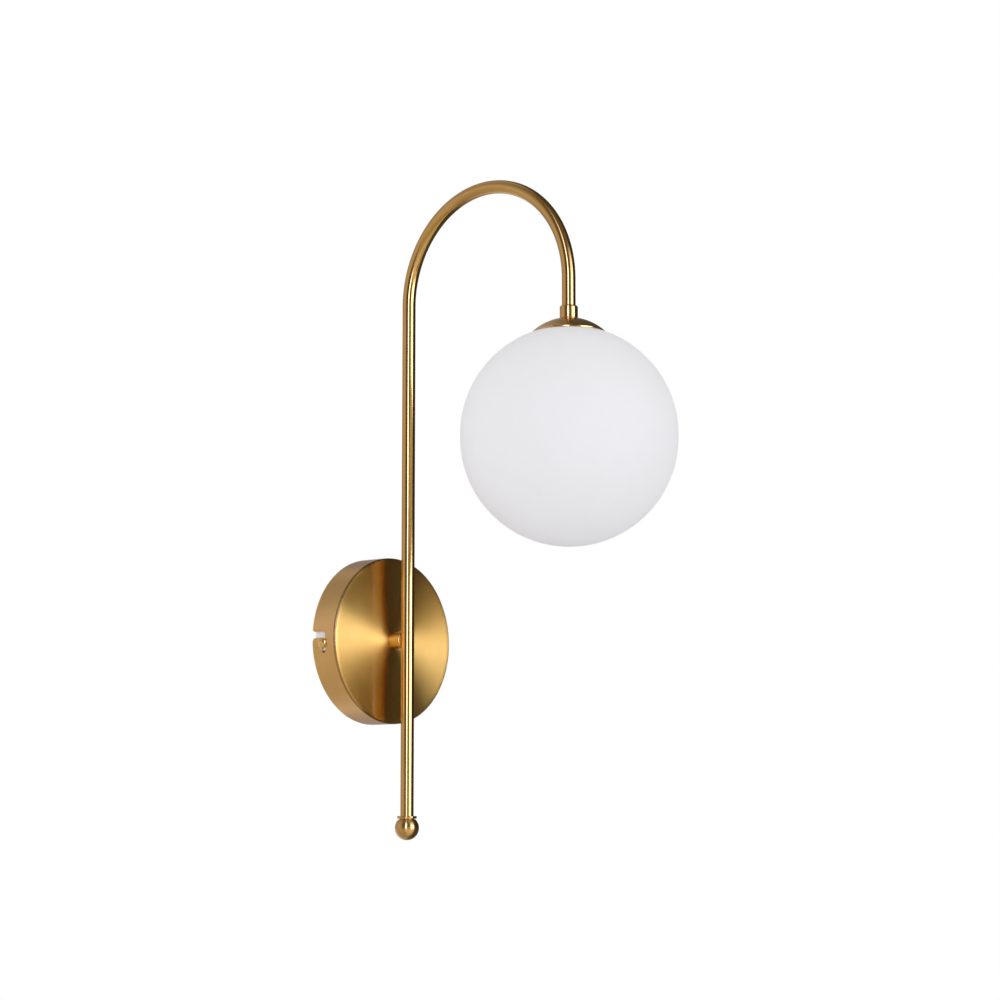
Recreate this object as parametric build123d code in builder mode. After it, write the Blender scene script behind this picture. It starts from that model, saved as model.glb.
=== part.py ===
from build123d import *
from math import sqrt
import os

# A wall lamp in satin brass: a round canopy on a twist-lock bracket, a thin tube bent over in a
# half circle, and an opal glass globe hanging under a domed cap. Millimetres. The wall is the
# plane y = 0, the lamp stands out to -Y, +Z is up, and the origin is the canopy's middle on the wall.

# Canopy
CANOPY_D = 120.0
CANOPY_DEPTH = 23.0
CANOPY_WALL = 1.0
CANOPY_ROUND = 1.6
WALL_GAP = 0.5

# Twist lock: an L-shaped slot in the rim on each side, with a screw from the bracket in it
SCREW_SETBACK = 11.0
SCREW_OFFSET = 3.7
SLOT_PLAY = 0.3
SLOT_END = 10.95
NOTCH_OFFSET = 2.2
NOTCH_ROUND = 2.2
LIP_ROUND = 3.6
SCREW_D = 4.0
SCREW_HEAD_D = 7.2
SCREW_HEAD_H = 2.4
SCREW_HEAD_GAP = 0.3
SCREW_TIP = 1.5
CROWN = 0.6
RECESS_SPAN = 0.52
RECESS_W = 0.13

# Wall bracket
STRIP_T = 2.0
STRIP_W = 22.0
EAR_STEP = 2.0
EAR_MARGIN = 5.5
EAR_CLEARANCE = 0.6
BEND_R = 0.5
TAP_COLLAR_WALL = 1.3
TAP_COLLAR_H = 2.0
WALL_SLOT_SPACING = 64.0
WALL_SLOT_L = 14.0
WALL_SLOT_W = 4.5
CABLE_HOLE_EDGE = 3.0

# Clearances: screwed or soldered fits, and loose fits within one body
FIT = 0.05
LOOSE = 0.2

# Wires, and the hollow nipples that they pass through
WIRE_D = 1.9
WIRE_GAP = 0.5
BUSH_WALL = 0.35
NIPPLE_WALL = 1.2
NIPPLE_STICK_OUT = 1.5
NUT_WALL = 2.6
NUT_H = 4.0
WASHER_T = 0.8
WASHER_TEETH = 12
BUSH_FLANGE_T = 1.0
BUSH_FLANGE_W = 0.7
BUSH_SLEEVE_L = 4.0

# Arm tube and the turned couplings at its two ends
TUBE_D = 9.5
TUBE_WALL = 0.8
ARM_SETBACK = 36.95
ARCH_R = 76.1
ARCH_Z = 243.95
TUBE_FOOT = 125.7
HANG = 24.5
COUPLING_D = 12.6
COUPLING_ROUND = 1.0
SADDLE_DEPTH = 1.5
COUPLING_WEB = 2.95
COLLAR_L = 9.8
COLLAR_THREAD = 4.5
COLLAR_ROUND = 1.5

# Finial
FLANGE_D = 14.2
FLANGE_FOOT_D = 13.2
FLANGE_H = 2.6
FLANGE_ROUND = 0.5
GROOVE_D = 12.0
GROOVE_H = 0.8
BALL_D = 17.3
BALL_NECK_D = 14.0
STUD_D = 4.0
STUD_UP = 6.5
STUD_DOWN = 5.5
PLUG_L = 9.0

# Globe, dome cap and gasket
GLOBE_D = 150.0
GLOBE_BELT = 2.25
GLASS_T = 3.0
DOME_R = 37.3
DOME_WALL = 1.0
DOME_RIM_D = 49.8
DOME_LIP = 0.57
DOME_LAND_D = 18.0
RIM_GAP = 0.45
GASKET_PLAY = 0.3
GASKET_T = 1.0
GASKET_W = 3.8

# Holder sleeve and globe ring, with a three-turn thread between them
THREAD_D = 26.4
THREAD_PLAY = 0.4
THREAD_L = 9.0
SLEEVE_WALL = 2.0
SLEEVE_PLATE_T = 2.8
SLEEVE_BOSS_D = 11.0
SLEEVE_LAP = 11.0
SHOULDER_CLEARANCE = 1.12
SHOULDER_CHAMFER = 0.8
RING_BOND = 0.15
RING_WALL = 1.75
RING_FLANGE_W = 1.8
RING_FLANGE_T = 1.2
LEDGE_H = 5.0
LEDGE_WALL = 1.35
WIRE_ROOM = 9.0

# Lampholder: two pins, 9 mm apart
PIN_SPACING = 9.0
SOCKET_L = 15.0
SOCKET_FLOOR = 2.2
SOCKET_CHAMFER = 0.6
SOCKET_SCREW_INSET = 3.6
SMALL_SCREW_D = 2.5
SMALL_HEAD_D = 4.4
SMALL_HEAD_H = 1.8
PIN_PLAY = 0.3
CONTACT_T = 0.4
BARREL_WALL = 0.4
BARREL_H = 3.5

# Bulb
PIN_D = 0.8
PIN_LOOP_W = 2.2
PIN_L = 7.0
BULB_GAP = 0.3
BULB_NECK_X = 14.5
BULB_NECK_Y = 9.0
BULB_NECK_H = 8.0
BULB_D = 16.0
BULB_SKIRT_H = 4.0
BULB_L = 34.0
BULB_WALL = 1.0
BOARD_W = 10.0
BOARD_T = 1.2
BOARD_END_GAP = 6.0
CHIP_SIZE = 2.8
CHIP_T = 0.5
CHIP_PITCH = 4.5
CHIP_ROWS = 4

# Terminal strap, terminal block and earth terminal behind the canopy
STRAP_T = 1.2
STRAP_W = 16.0
STRAP_JOG = 3.5
STRAP_BEND_R = 2.0
STRAP_END_ROUND = 3.0
STRAP_MARGIN = 2.0
BLOCK_GAP = 8.0
POLES = 3
POLE_GAP = 2.5
POLE_WALL = 1.7
POLE_AXIS_H = 5.2
BLOCK_L = 18.0
BLOCK_WEB_H = 4.0
TOWER_WALL = 1.2
TOWER_TOP_H = 12.5
TOWER_BORE_D = 4.0
TERMINAL_SCREW_V = 4.6
TERMINAL_SCREW_D = 2.3
TERMINAL_HEAD_H = 2.2
TERMINAL_TOP_H = 11.2
SLEEVE_T = 1.0
SLEEVE_PLAY = 0.7
SLEEVE_INSET = 1.0
EARTH_GAP = 2.8
LUG_T = 0.8
LUG_RING_WALL = 2.0
LUG_BARREL_L = 6.0
LUG_BARREL_WALL = 0.7
EARTH_WIRE_X = 16.0
EARTH_WIRE_BEND = 4.0
WIRE_BEND = 3.5
WIRE_RUN_OUT = 5.0
WIRE_GRIP = 8.0

# Places worked out from the sizes above, first at the wall
CANOPY_R = CANOPY_D / 2
CANOPY_IN_R = CANOPY_R - CANOPY_WALL
CANOPY_IN = CANOPY_DEPTH - CANOPY_WALL
SLOT_W = SCREW_D + SLOT_PLAY
CABLE_HOLE_D = STRIP_W - 2 * CABLE_HOLE_EDGE
EAR_W = STRIP_W - 2 * EAR_STEP
EAR_REACH = sqrt((CANOPY_IN_R - EAR_CLEARANCE) ** 2 - (EAR_W / 2) ** 2)
EAR_DEPTH = SCREW_SETBACK + EAR_MARGIN
WIRE_R = WIRE_D / 2
WIRE_SPREAD = WIRE_D + WIRE_GAP
WIRE_X = WIRE_SPREAD / 2
BUSH_BORE_D = WIRE_SPREAD + WIRE_D + 2 * LOOSE
NIPPLE_BORE_D = BUSH_BORE_D + 2 * BUSH_WALL
NIPPLE_D = NIPPLE_BORE_D + 2 * NIPPLE_WALL
NUT_AF = NIPPLE_D + 2 * NUT_WALL
NUT_CORNER_R = NUT_AF / sqrt(3)
STRAP_FACE = CANOPY_IN - STRAP_T
ARM_NUT_SEAT = STRAP_FACE - WASHER_T
ARM_NIPPLE_END = ARM_NUT_SEAT - NUT_H - NIPPLE_STICK_OUT
TUBE_R = TUBE_D / 2
ARM_NIPPLE_TOP = ARM_SETBACK - TUBE_R - COUPLING_WEB
COUPLING_THREAD = ARM_NIPPLE_TOP - CANOPY_DEPTH

# Places along the head's axis, from the tube's hanging end down
TUBE_BORE_R = TUBE_R - TUBE_WALL
HEAD_REACH = ARM_SETBACK + 2 * ARCH_R
TUBE_END_Z = ARCH_Z - HANG
LAND_Z = TUBE_END_Z - COLLAR_THREAD
LAND_IN_Z = LAND_Z - DOME_WALL
LAND_R = DOME_LAND_D / 2
DOME_Z = LAND_Z - sqrt(DOME_R**2 - LAND_R**2)
DOME_IN_R = DOME_R - DOME_WALL
GLOBE_R = GLOBE_D / 2
SEAT_R = GLOBE_R + RIM_GAP
RIM_R = DOME_RIM_D / 2
LIP_Z = DOME_Z + sqrt(DOME_R**2 - RIM_R**2)
RIM_Z = LIP_Z - DOME_LIP
GLOBE_Z = RIM_Z - sqrt(SEAT_R**2 - RIM_R**2)
GLOBE_LOW_Z = GLOBE_Z - GLOBE_BELT
THREAD_R = THREAD_D / 2
MOUTH_R = THREAD_R + THREAD_PLAY + RING_WALL + RING_BOND
SLEEVE_IN_R = THREAD_R - SLEEVE_WALL
SHOULDER_Z = DOME_Z + sqrt(DOME_IN_R**2 - THREAD_R**2) - SHOULDER_CLEARANCE
PLATE_Z = SHOULDER_Z - SLEEVE_PLATE_T
HEAD_NUT_Z = PLATE_Z - WASHER_T
HEAD_NIPPLE_END_Z = HEAD_NUT_Z - NUT_H - NIPPLE_STICK_OUT
SOCKET_TOP_Z = HEAD_NIPPLE_END_Z - WIRE_ROOM
SOCKET_FOOT_Z = SOCKET_TOP_Z - SOCKET_L
SLEEVE_FOOT_Z = SOCKET_TOP_Z - SLEEVE_LAP
SOCKET_R = SLEEVE_IN_R - LOOSE
SOCKET_SCREW_R = SOCKET_R - SOCKET_SCREW_INSET
PIN_X = PIN_SPACING / 2
CONTACT_W = PIN_LOOP_W + PIN_D
CONTACT_GAP = PIN_D + 2 * PIN_PLAY
BARREL_R = WIRE_R + FIT + BARREL_WALL
BULB_TOP_Z = SOCKET_FOOT_Z - BULB_GAP
BULB_SKIRT_Z = BULB_TOP_Z - BULB_NECK_H
BULB_SEAT_Z = BULB_SKIRT_Z - BULB_SKIRT_H
BULB_R = BULB_D / 2

# Places of the terminals, as distances from the wall
JOG_START = NUT_CORNER_R + STRAP_MARGIN
JOG_END = JOG_START + STRAP_JOG
STRAP_RAISED = CANOPY_IN - STRAP_JOG
TERMINAL_SEAT = STRAP_RAISED - STRAP_T
POLE_SETBACK = TERMINAL_SEAT - POLE_AXIS_H
SLEEVE_BORE_D = WIRE_D + SLEEVE_PLAY
SLEEVE_D = SLEEVE_BORE_D + 2 * SLEEVE_T
POLE_D = SLEEVE_D + 2 * POLE_WALL
POLE_PITCH = POLE_D + POLE_GAP
TOWER_D = TOWER_BORE_D + 2 * TOWER_WALL
BLOCK_Z = JOG_END + BLOCK_GAP + BLOCK_L / 2
STRAP_TOP = BLOCK_Z + BLOCK_L / 2 + STRAP_MARGIN
LUG_RING_R = SCREW_D / 2 + LOOSE + LUG_RING_WALL
EARTH_Z = JOG_END + EARTH_GAP + LUG_RING_R
STRAP_LOW = EARTH_Z + LUG_RING_R + STRAP_MARGIN
LUG_SEAT = TERMINAL_SEAT - WASHER_T
LUG_BARREL_R = WIRE_R + FIT + LUG_BARREL_WALL
LUG_BARREL_SETBACK = LUG_SEAT - LUG_BARREL_R
WIRE_OUT = ARM_NIPPLE_END - BUSH_FLANGE_T - WIRE_RUN_OUT

# The head hangs on its own upright axis, and a sketch on HEAD has the coordinates (radius, z).
HEAD = Plane.XZ.offset(HEAD_REACH)
HEAD_AXIS = Axis((0, -HEAD_REACH, 0), (0, 0, 1))
ARM = Plane.XZ.offset(ARM_SETBACK)
ARM_AXIS = Axis((0, -ARM_SETBACK, 0), (0, 0, 1))
BLOCK = Plane((0, -TERMINAL_SEAT, BLOCK_Z), x_dir=(-1, 0, 0), z_dir=(0, 1, 0))
EARTH = Plane((0, -TERMINAL_SEAT, -EARTH_Z), x_dir=(-1, 0, 0), z_dir=(0, 1, 0))


def head_level(z):
    """A level plane on the head's axis, facing up."""
    return Plane((0, -HEAD_REACH, z))


def axial(plane):
    """The plane through another plane's axis, with the coordinates (radius, height)."""
    return Plane(plane.origin, x_dir=plane.x_dir, z_dir=plane.x_dir.cross(plane.z_dir))


def turn(profile, plane, mode=Mode.ADD):
    """Turn a profile on the axial plane about the plane's axis."""
    revolve(profile.sketch, axis=Axis(plane.origin, plane.z_dir), mode=mode)


def on_sphere(radius, r, centre_z):
    """The point of a sphere's upper half at a radius from its axis."""
    return (r, centre_z + sqrt(radius**2 - r**2))


def cap_arc(radius, r_from, r_to, centre_z):
    """An arc over a sphere's upper half between two radii."""
    middle = (r_from + r_to) / 2
    return ThreePointArc(
        on_sphere(radius, r_from, centre_z),
        on_sphere(radius, middle, centre_z),
        on_sphere(radius, r_to, centre_z),
    )


def seat_meets_dome(radius):
    """The radius at which a sphere about the dome's centre meets the seat over the glass."""
    rise = DOME_Z - GLOBE_Z
    height = (rise**2 + SEAT_R**2 - radius**2) / (2 * rise)
    return sqrt(SEAT_R**2 - height**2)


def ring(plane, outer_r, inner_r, height):
    """Add a plain ring that stands on a plane."""
    with BuildSketch(plane) as section:
        Circle(outer_r)
        Circle(inner_r, mode=Mode.SUBTRACT)
    extrude(section.sketch, amount=height)


def drill(plane, radius, depth):
    """Bore a round hole down into a plane."""
    with BuildSketch(plane) as section:
        Circle(radius)
    extrude(section.sketch, amount=-depth, mode=Mode.SUBTRACT)


def pan_head_screw(plane, shank_d, shank_l, head_d, head_h):
    """Add a pan-head screw whose head sits on a plane, with a cross recess."""
    crown_h = head_h * CROWN
    crown_r = (head_d**2 / 4 + crown_h**2) / (2 * crown_h)
    crown_z = head_h - crown_r
    with BuildSketch(axial(plane)) as profile:
        with BuildLine():
            Polyline((0, head_h), (0, -shank_l), (shank_d / 2, -shank_l), (shank_d / 2, 0))
            Polyline((shank_d / 2, 0), (head_d / 2, 0), (head_d / 2, head_h - crown_h))
            cap_arc(crown_r, head_d / 2, 0, crown_z)
        make_face()
    turn(profile, plane)
    with BuildSketch(plane.offset(head_h)) as recess:
        Rectangle(head_d * RECESS_SPAN, head_d * RECESS_W)
        Rectangle(head_d * RECESS_W, head_d * RECESS_SPAN)
    extrude(recess.sketch, amount=-head_h / 2, mode=Mode.SUBTRACT)


def hollow_nipple(plane, length):
    """Add a hollow threaded rod that runs up from a plane."""
    ring(plane, NIPPLE_D / 2, NIPPLE_BORE_D / 2, length)


def lock_washer(plane, bore_d, outer_r):
    """Add a toothed lock washer on a plane."""
    ring(plane, outer_r, bore_d / 2 + LOOSE, WASHER_T)
    with BuildSketch(plane) as gaps:
        with PolarLocations(outer_r, WASHER_TEETH):
            Rectangle(outer_r / 4, outer_r / 5)
    extrude(gaps.sketch, amount=WASHER_T, mode=Mode.SUBTRACT)


def hex_nut(plane):
    """Add a hexagon nut on a plane, with its corners chamfered at both ends."""
    with BuildSketch(plane) as hexagon:
        RegularPolygon(NUT_AF / 2, 6, major_radius=False, rotation=30)
    extrude(hexagon.sketch, amount=NUT_H)
    bevel = NUT_CORNER_R - NUT_AF / 2
    with BuildSketch(axial(plane)) as profile:
        with BuildLine():
            Polyline((0, 0), (NUT_AF / 2, 0), (NUT_CORNER_R, bevel / 2), (NUT_CORNER_R, NUT_H - bevel / 2))
            Polyline((NUT_CORNER_R, NUT_H - bevel / 2), (NUT_AF / 2, NUT_H), (0, NUT_H), (0, 0))
        make_face()
    turn(profile, plane, mode=Mode.INTERSECT)
    drill(plane.offset(NUT_H), NIPPLE_D / 2 + FIT, NUT_H)


# Wall bracket: a strip along X, with both ends bent forward into tapped ears
with BuildPart() as wall_bracket:
    with BuildSketch(Plane.XY):
        with BuildLine():
            FilletPolyline(
                (-EAR_REACH, -EAR_DEPTH),
                (-EAR_REACH, 0),
                (EAR_REACH, 0),
                (EAR_REACH, -EAR_DEPTH),
                radius=BEND_R + STRIP_T,
            )
            offset(amount=STRIP_T, side=Side.RIGHT)
        make_face()
    extrude(amount=STRIP_W / 2, both=True)
    with BuildSketch(Plane.YZ):
        for side in (-1, 1):
            with Locations((-(BEND_R + STRIP_T), side * EAR_W / 2)):
                Rectangle(EAR_DEPTH, STRIP_W, align=(Align.MAX, Align.MIN if side > 0 else Align.MAX))
    extrude(amount=CANOPY_D, both=True, mode=Mode.SUBTRACT)
    fillet(wall_bracket.edges().filter_by(Axis.X).group_by(Axis.Y)[0], radius=EAR_W / 4)
    for side in (-1, 1):
        tap = Plane(
            (side * (EAR_REACH - STRIP_T), -SCREW_SETBACK, side * SCREW_OFFSET), z_dir=(-side, 0, 0)
        )
        with BuildSketch(tap):
            Circle(SCREW_D / 2 + TAP_COLLAR_WALL)
        extrude(amount=TAP_COLLAR_H)
        drill(tap.offset(TAP_COLLAR_H), SCREW_D / 2 + FIT, TAP_COLLAR_H + 2 * STRIP_T)
    with BuildSketch(Plane.XZ):
        with GridLocations(WALL_SLOT_SPACING, 0, 2, 1):
            SlotOverall(WALL_SLOT_L, WALL_SLOT_W)
        Circle(CABLE_HOLE_D / 2)
    extrude(amount=STRIP_T, mode=Mode.SUBTRACT)

# Canopy screws: one in each ear, with its head just outside the canopy's rim
with BuildPart() as canopy_screws:
    for side in (-1, 1):
        under_head = Plane(
            (side * (CANOPY_R + SCREW_HEAD_GAP), -SCREW_SETBACK, side * SCREW_OFFSET), z_dir=(side, 0, 0)
        )
        tapped_to = EAR_REACH - STRIP_T - TAP_COLLAR_H
        shank = CANOPY_R + SCREW_HEAD_GAP - tapped_to + SCREW_TIP
        pan_head_screw(under_head, SCREW_D, shank, SCREW_HEAD_D, SCREW_HEAD_H)

# Canopy: a spun pan, open to the wall, with the two L-shaped slots of the twist lock
with BuildPart() as canopy:
    with BuildSketch(Plane.XY):
        with BuildLine():
            Polyline(
                (NIPPLE_D / 2 + LOOSE, -CANOPY_DEPTH),
                (CANOPY_R, -CANOPY_DEPTH),
                (CANOPY_R, -WALL_GAP),
                (CANOPY_IN_R, -WALL_GAP),
                (CANOPY_IN_R, -CANOPY_IN),
                (NIPPLE_D / 2 + LOOSE, -CANOPY_IN),
                close=True,
            )
        make_face()
    revolve(axis=Axis.Y)
    fillet(canopy.edges().group_by(Axis.Y)[0].sort_by(SortBy.RADIUS)[-1], radius=CANOPY_ROUND)
    for side in (-1, 1):
        with BuildSketch(Plane((side * CANOPY_R, 0, 0), x_dir=(0, -1, 0), z_dir=(side, 0, 0))):
            for way, mouth in ((1, NOTCH_ROUND), (-1, LIP_ROUND)):
                edge = NOTCH_OFFSET + way * SLOT_W / 2
                with Locations((0, edge)):
                    Rectangle(WALL_GAP + mouth, mouth, align=(Align.MIN, Align.MIN if way > 0 else Align.MAX))
                with Locations((WALL_GAP + mouth, edge + way * mouth)):
                    Circle(mouth, mode=Mode.SUBTRACT)
            with Locations((0, NOTCH_OFFSET)):
                Rectangle(SCREW_SETBACK, SLOT_W, align=(Align.MIN, Align.CENTER))
            slot_run = NOTCH_OFFSET + SLOT_END - SLOT_W / 2
            with Locations((SCREW_SETBACK, NOTCH_OFFSET - slot_run / 2)):
                SlotCenterToCenter(slot_run, SLOT_W, rotation=90)
        extrude(amount=-CANOPY_R / 4, mode=Mode.SUBTRACT)

# Terminal strap: flat under the arm nut, stepped clear of the canopy at both ends
with BuildPart() as terminal_strap:
    with BuildSketch(Plane.YZ):
        with BuildLine():
            FilletPolyline(
                (-STRAP_RAISED, -STRAP_LOW),
                (-STRAP_RAISED, -JOG_END),
                (-CANOPY_IN, -JOG_START),
                (-CANOPY_IN, JOG_START),
                (-STRAP_RAISED, JOG_END),
                (-STRAP_RAISED, STRAP_TOP),
                radius=STRAP_BEND_R,
            )
            offset(amount=STRAP_T, side=Side.RIGHT)
        make_face()
    extrude(amount=STRAP_W / 2, both=True)
    ends = terminal_strap.edges().filter_by(Axis.Y).group_by(Axis.Z)
    fillet(ends[0] + ends[-1], radius=STRAP_END_ROUND)
    with BuildSketch(Plane.XZ):
        Circle(NIPPLE_D / 2 + LOOSE)
        with Locations((0, BLOCK_Z)):
            with GridLocations(POLE_PITCH, 0, POLES - 1, 1):
                Circle(SMALL_SCREW_D / 2 + FIT)
        with Locations((0, -EARTH_Z)):
            Circle(SCREW_D / 2 + FIT)
    extrude(amount=CANOPY_DEPTH, mode=Mode.SUBTRACT)

# Arm coupling: the standoff in front of the canopy, coped to sit against the tube
COUPLING_END = ARM_SETBACK - TUBE_R + SADDLE_DEPTH
with BuildPart() as arm_coupling:
    with BuildSketch(Plane.XZ.offset(CANOPY_DEPTH)):
        Circle(COUPLING_D / 2)
    extrude(amount=COUPLING_END - CANOPY_DEPTH)
    fillet(arm_coupling.edges().filter_by(GeomType.CIRCLE), radius=COUPLING_ROUND)
    with BuildSketch(Plane((0, -ARM_SETBACK, 0))):
        Circle(TUBE_R + FIT)
    extrude(amount=COUPLING_D, both=True, mode=Mode.SUBTRACT)
    with BuildSketch(Plane.XZ.offset(CANOPY_DEPTH)):
        Circle(NIPPLE_D / 2 + FIT)
    extrude(amount=COUPLING_THREAD, mode=Mode.SUBTRACT)
    with BuildSketch(Plane.XZ.offset(CANOPY_DEPTH)):
        Circle(NIPPLE_BORE_D / 2)
    extrude(amount=ARM_SETBACK - CANOPY_DEPTH, mode=Mode.SUBTRACT)

# Arm nipple with its lock washer, nut and wire bush
with BuildPart() as arm_nipple:
    hollow_nipple(Plane.XZ.offset(ARM_NIPPLE_END), ARM_NIPPLE_TOP - ARM_NIPPLE_END)

with BuildPart() as arm_lock_washer:
    lock_washer(Plane.XZ.offset(ARM_NUT_SEAT), NIPPLE_D, NUT_AF / 2)

with BuildPart() as arm_nut:
    hex_nut(Plane.XZ.offset(ARM_NUT_SEAT - NUT_H))

with BuildPart() as nipple_bush:
    ring(
        Plane.XZ.offset(ARM_NIPPLE_END - BUSH_FLANGE_T),
        NIPPLE_D / 2 + BUSH_FLANGE_W,
        BUSH_BORE_D / 2,
        BUSH_FLANGE_T,
    )
    ring(Plane.XZ.offset(ARM_NIPPLE_END), NIPPLE_BORE_D / 2 - FIT, BUSH_BORE_D / 2, BUSH_SLEEVE_L)

# Arm tube: up from the finial, over in a half circle, and down into the collar
with BuildPart() as arm_tube:
    with BuildLine(Plane.YZ) as arm_line:
        Line((-ARM_SETBACK, -TUBE_FOOT), (-ARM_SETBACK, ARCH_Z))
        ThreePointArc(
            (-ARM_SETBACK, ARCH_Z), (-ARM_SETBACK - ARCH_R, ARCH_Z + ARCH_R), (-HEAD_REACH, ARCH_Z)
        )
        Line((-HEAD_REACH, ARCH_Z), (-HEAD_REACH, TUBE_END_Z))
    with BuildSketch(Plane((0, -ARM_SETBACK, -TUBE_FOOT))):
        Circle(TUBE_R)
        Circle(TUBE_BORE_R, mode=Mode.SUBTRACT)
    sweep(path=arm_line.line)
    with BuildSketch(Plane.XZ.offset(CANOPY_DEPTH)):
        Circle(NIPPLE_BORE_D / 2)
    extrude(amount=ARM_SETBACK - CANOPY_DEPTH, mode=Mode.SUBTRACT)

# Tube plug, stud and ball finial at the tube's foot
with BuildPart() as tube_plug:
    ring(Plane((0, -ARM_SETBACK, -TUBE_FOOT)), TUBE_BORE_R - FIT, STUD_D / 2 + FIT, PLUG_L)

with BuildPart() as finial_stud:
    with BuildSketch(Plane((0, -ARM_SETBACK, -TUBE_FOOT - STUD_DOWN))):
        Circle(STUD_D / 2)
    extrude(amount=STUD_DOWN + STUD_UP)
    chamfer(finial_stud.edges().filter_by(GeomType.CIRCLE), length=STUD_D / 10)

with BuildPart() as finial:
    flange_foot = -TUBE_FOOT - FLANGE_H
    neck = flange_foot - GROOVE_H
    ball_middle = neck - sqrt(BALL_D**2 - BALL_NECK_D**2) / 2
    with BuildSketch(ARM):
        with BuildLine():
            Polyline(
                (0, ball_middle - BALL_D / 2),
                (0, -TUBE_FOOT),
                (FLANGE_D / 2 - FLANGE_ROUND, -TUBE_FOOT),
                (FLANGE_D / 2, -TUBE_FOOT - FLANGE_ROUND),
                (FLANGE_FOOT_D / 2, flange_foot),
                (GROOVE_D / 2, flange_foot),
                (GROOVE_D / 2, neck),
                (BALL_NECK_D / 2, neck),
            )
            ThreePointArc(
                (BALL_NECK_D / 2, neck), (BALL_D / 2, ball_middle), (0, ball_middle - BALL_D / 2)
            )
        make_face()
    revolve(axis=ARM_AXIS)
    drill(Plane((0, -ARM_SETBACK, -TUBE_FOOT)), STUD_D / 2 + FIT, STUD_DOWN + LOOSE)

# Collar: the same turned coupling at the hanging end, over the tube and the head nipple
with BuildPart() as collar:
    with BuildSketch(head_level(LAND_Z)):
        Circle(COUPLING_D / 2)
    extrude(amount=COLLAR_L)
    fillet(collar.edges().filter_by(GeomType.CIRCLE), radius=COLLAR_ROUND)
    drill(head_level(LAND_Z + COLLAR_L), TUBE_R + FIT, COLLAR_L - COLLAR_THREAD)
    drill(head_level(LAND_Z + COLLAR_L), NIPPLE_D / 2 + FIT, COLLAR_L)

# Dome cap: a spun part of a sphere, flat under the collar, with a short upright lip over the glass
with BuildPart() as dome_cap:
    rim_in_r = seat_meets_dome(DOME_IN_R)
    land_in_r = sqrt(DOME_IN_R**2 - (LAND_IN_Z - DOME_Z) ** 2)
    hole_r = NIPPLE_D / 2 + LOOSE
    with BuildSketch(HEAD):
        with BuildLine():
            Polyline((hole_r, LAND_IN_Z), (hole_r, LAND_Z), (LAND_R, LAND_Z))
            cap_arc(DOME_R, LAND_R, RIM_R, DOME_Z)
            Line((RIM_R, LIP_Z), (RIM_R, RIM_Z))
            cap_arc(SEAT_R, RIM_R, rim_in_r, GLOBE_Z)
            cap_arc(DOME_IN_R, rim_in_r, land_in_r, DOME_Z)
            Line((land_in_r, LAND_IN_Z), (hole_r, LAND_IN_Z))
        make_face()
    revolve(axis=HEAD_AXIS)

# Head nipple with its lock washer and nut, up through sleeve, dome and collar
with BuildPart() as head_nipple:
    hollow_nipple(head_level(HEAD_NIPPLE_END_Z), TUBE_END_Z - HEAD_NIPPLE_END_Z)

with BuildPart() as head_lock_washer:
    lock_washer(head_level(HEAD_NUT_Z), NIPPLE_D, NUT_AF / 2)

with BuildPart() as head_nut:
    hex_nut(head_level(HEAD_NUT_Z - NUT_H))

# Holder sleeve: a cup under the dome, threaded outside, with two ledges for the lampholder
with BuildPart() as holder_sleeve:
    with BuildSketch(HEAD):
        with BuildLine():
            Polyline(
                (NIPPLE_D / 2 + LOOSE, LAND_IN_Z),
                (SLEEVE_BOSS_D / 2, LAND_IN_Z),
                (SLEEVE_BOSS_D / 2, SHOULDER_Z),
                (THREAD_R - SHOULDER_CHAMFER, SHOULDER_Z),
                (THREAD_R, SHOULDER_Z - SHOULDER_CHAMFER),
                (THREAD_R, SLEEVE_FOOT_Z),
                (SLEEVE_IN_R, SLEEVE_FOOT_Z),
                (SLEEVE_IN_R, PLATE_Z),
                (NIPPLE_D / 2 + LOOSE, PLATE_Z),
                close=True,
            )
        make_face()
    revolve(axis=HEAD_AXIS)
    ledge_r = SMALL_SCREW_D / 2 + LEDGE_WALL
    with BuildSketch(head_level(SOCKET_TOP_Z)):
        with GridLocations(0, 2 * SOCKET_SCREW_R, 1, 2):
            Circle(ledge_r)
        with PolarLocations(SOCKET_SCREW_R, 2, start_angle=90):
            Rectangle(SLEEVE_IN_R, 2 * ledge_r, align=(Align.MIN, Align.CENTER))
        Circle(SLEEVE_IN_R + SLEEVE_WALL / 2, mode=Mode.INTERSECT)
    extrude(amount=LEDGE_H)
    with BuildSketch(head_level(SOCKET_TOP_Z)):
        with GridLocations(0, 2 * SOCKET_SCREW_R, 1, 2):
            Circle(SMALL_SCREW_D / 2 + FIT)
    extrude(amount=LEDGE_H, mode=Mode.SUBTRACT)

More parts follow.
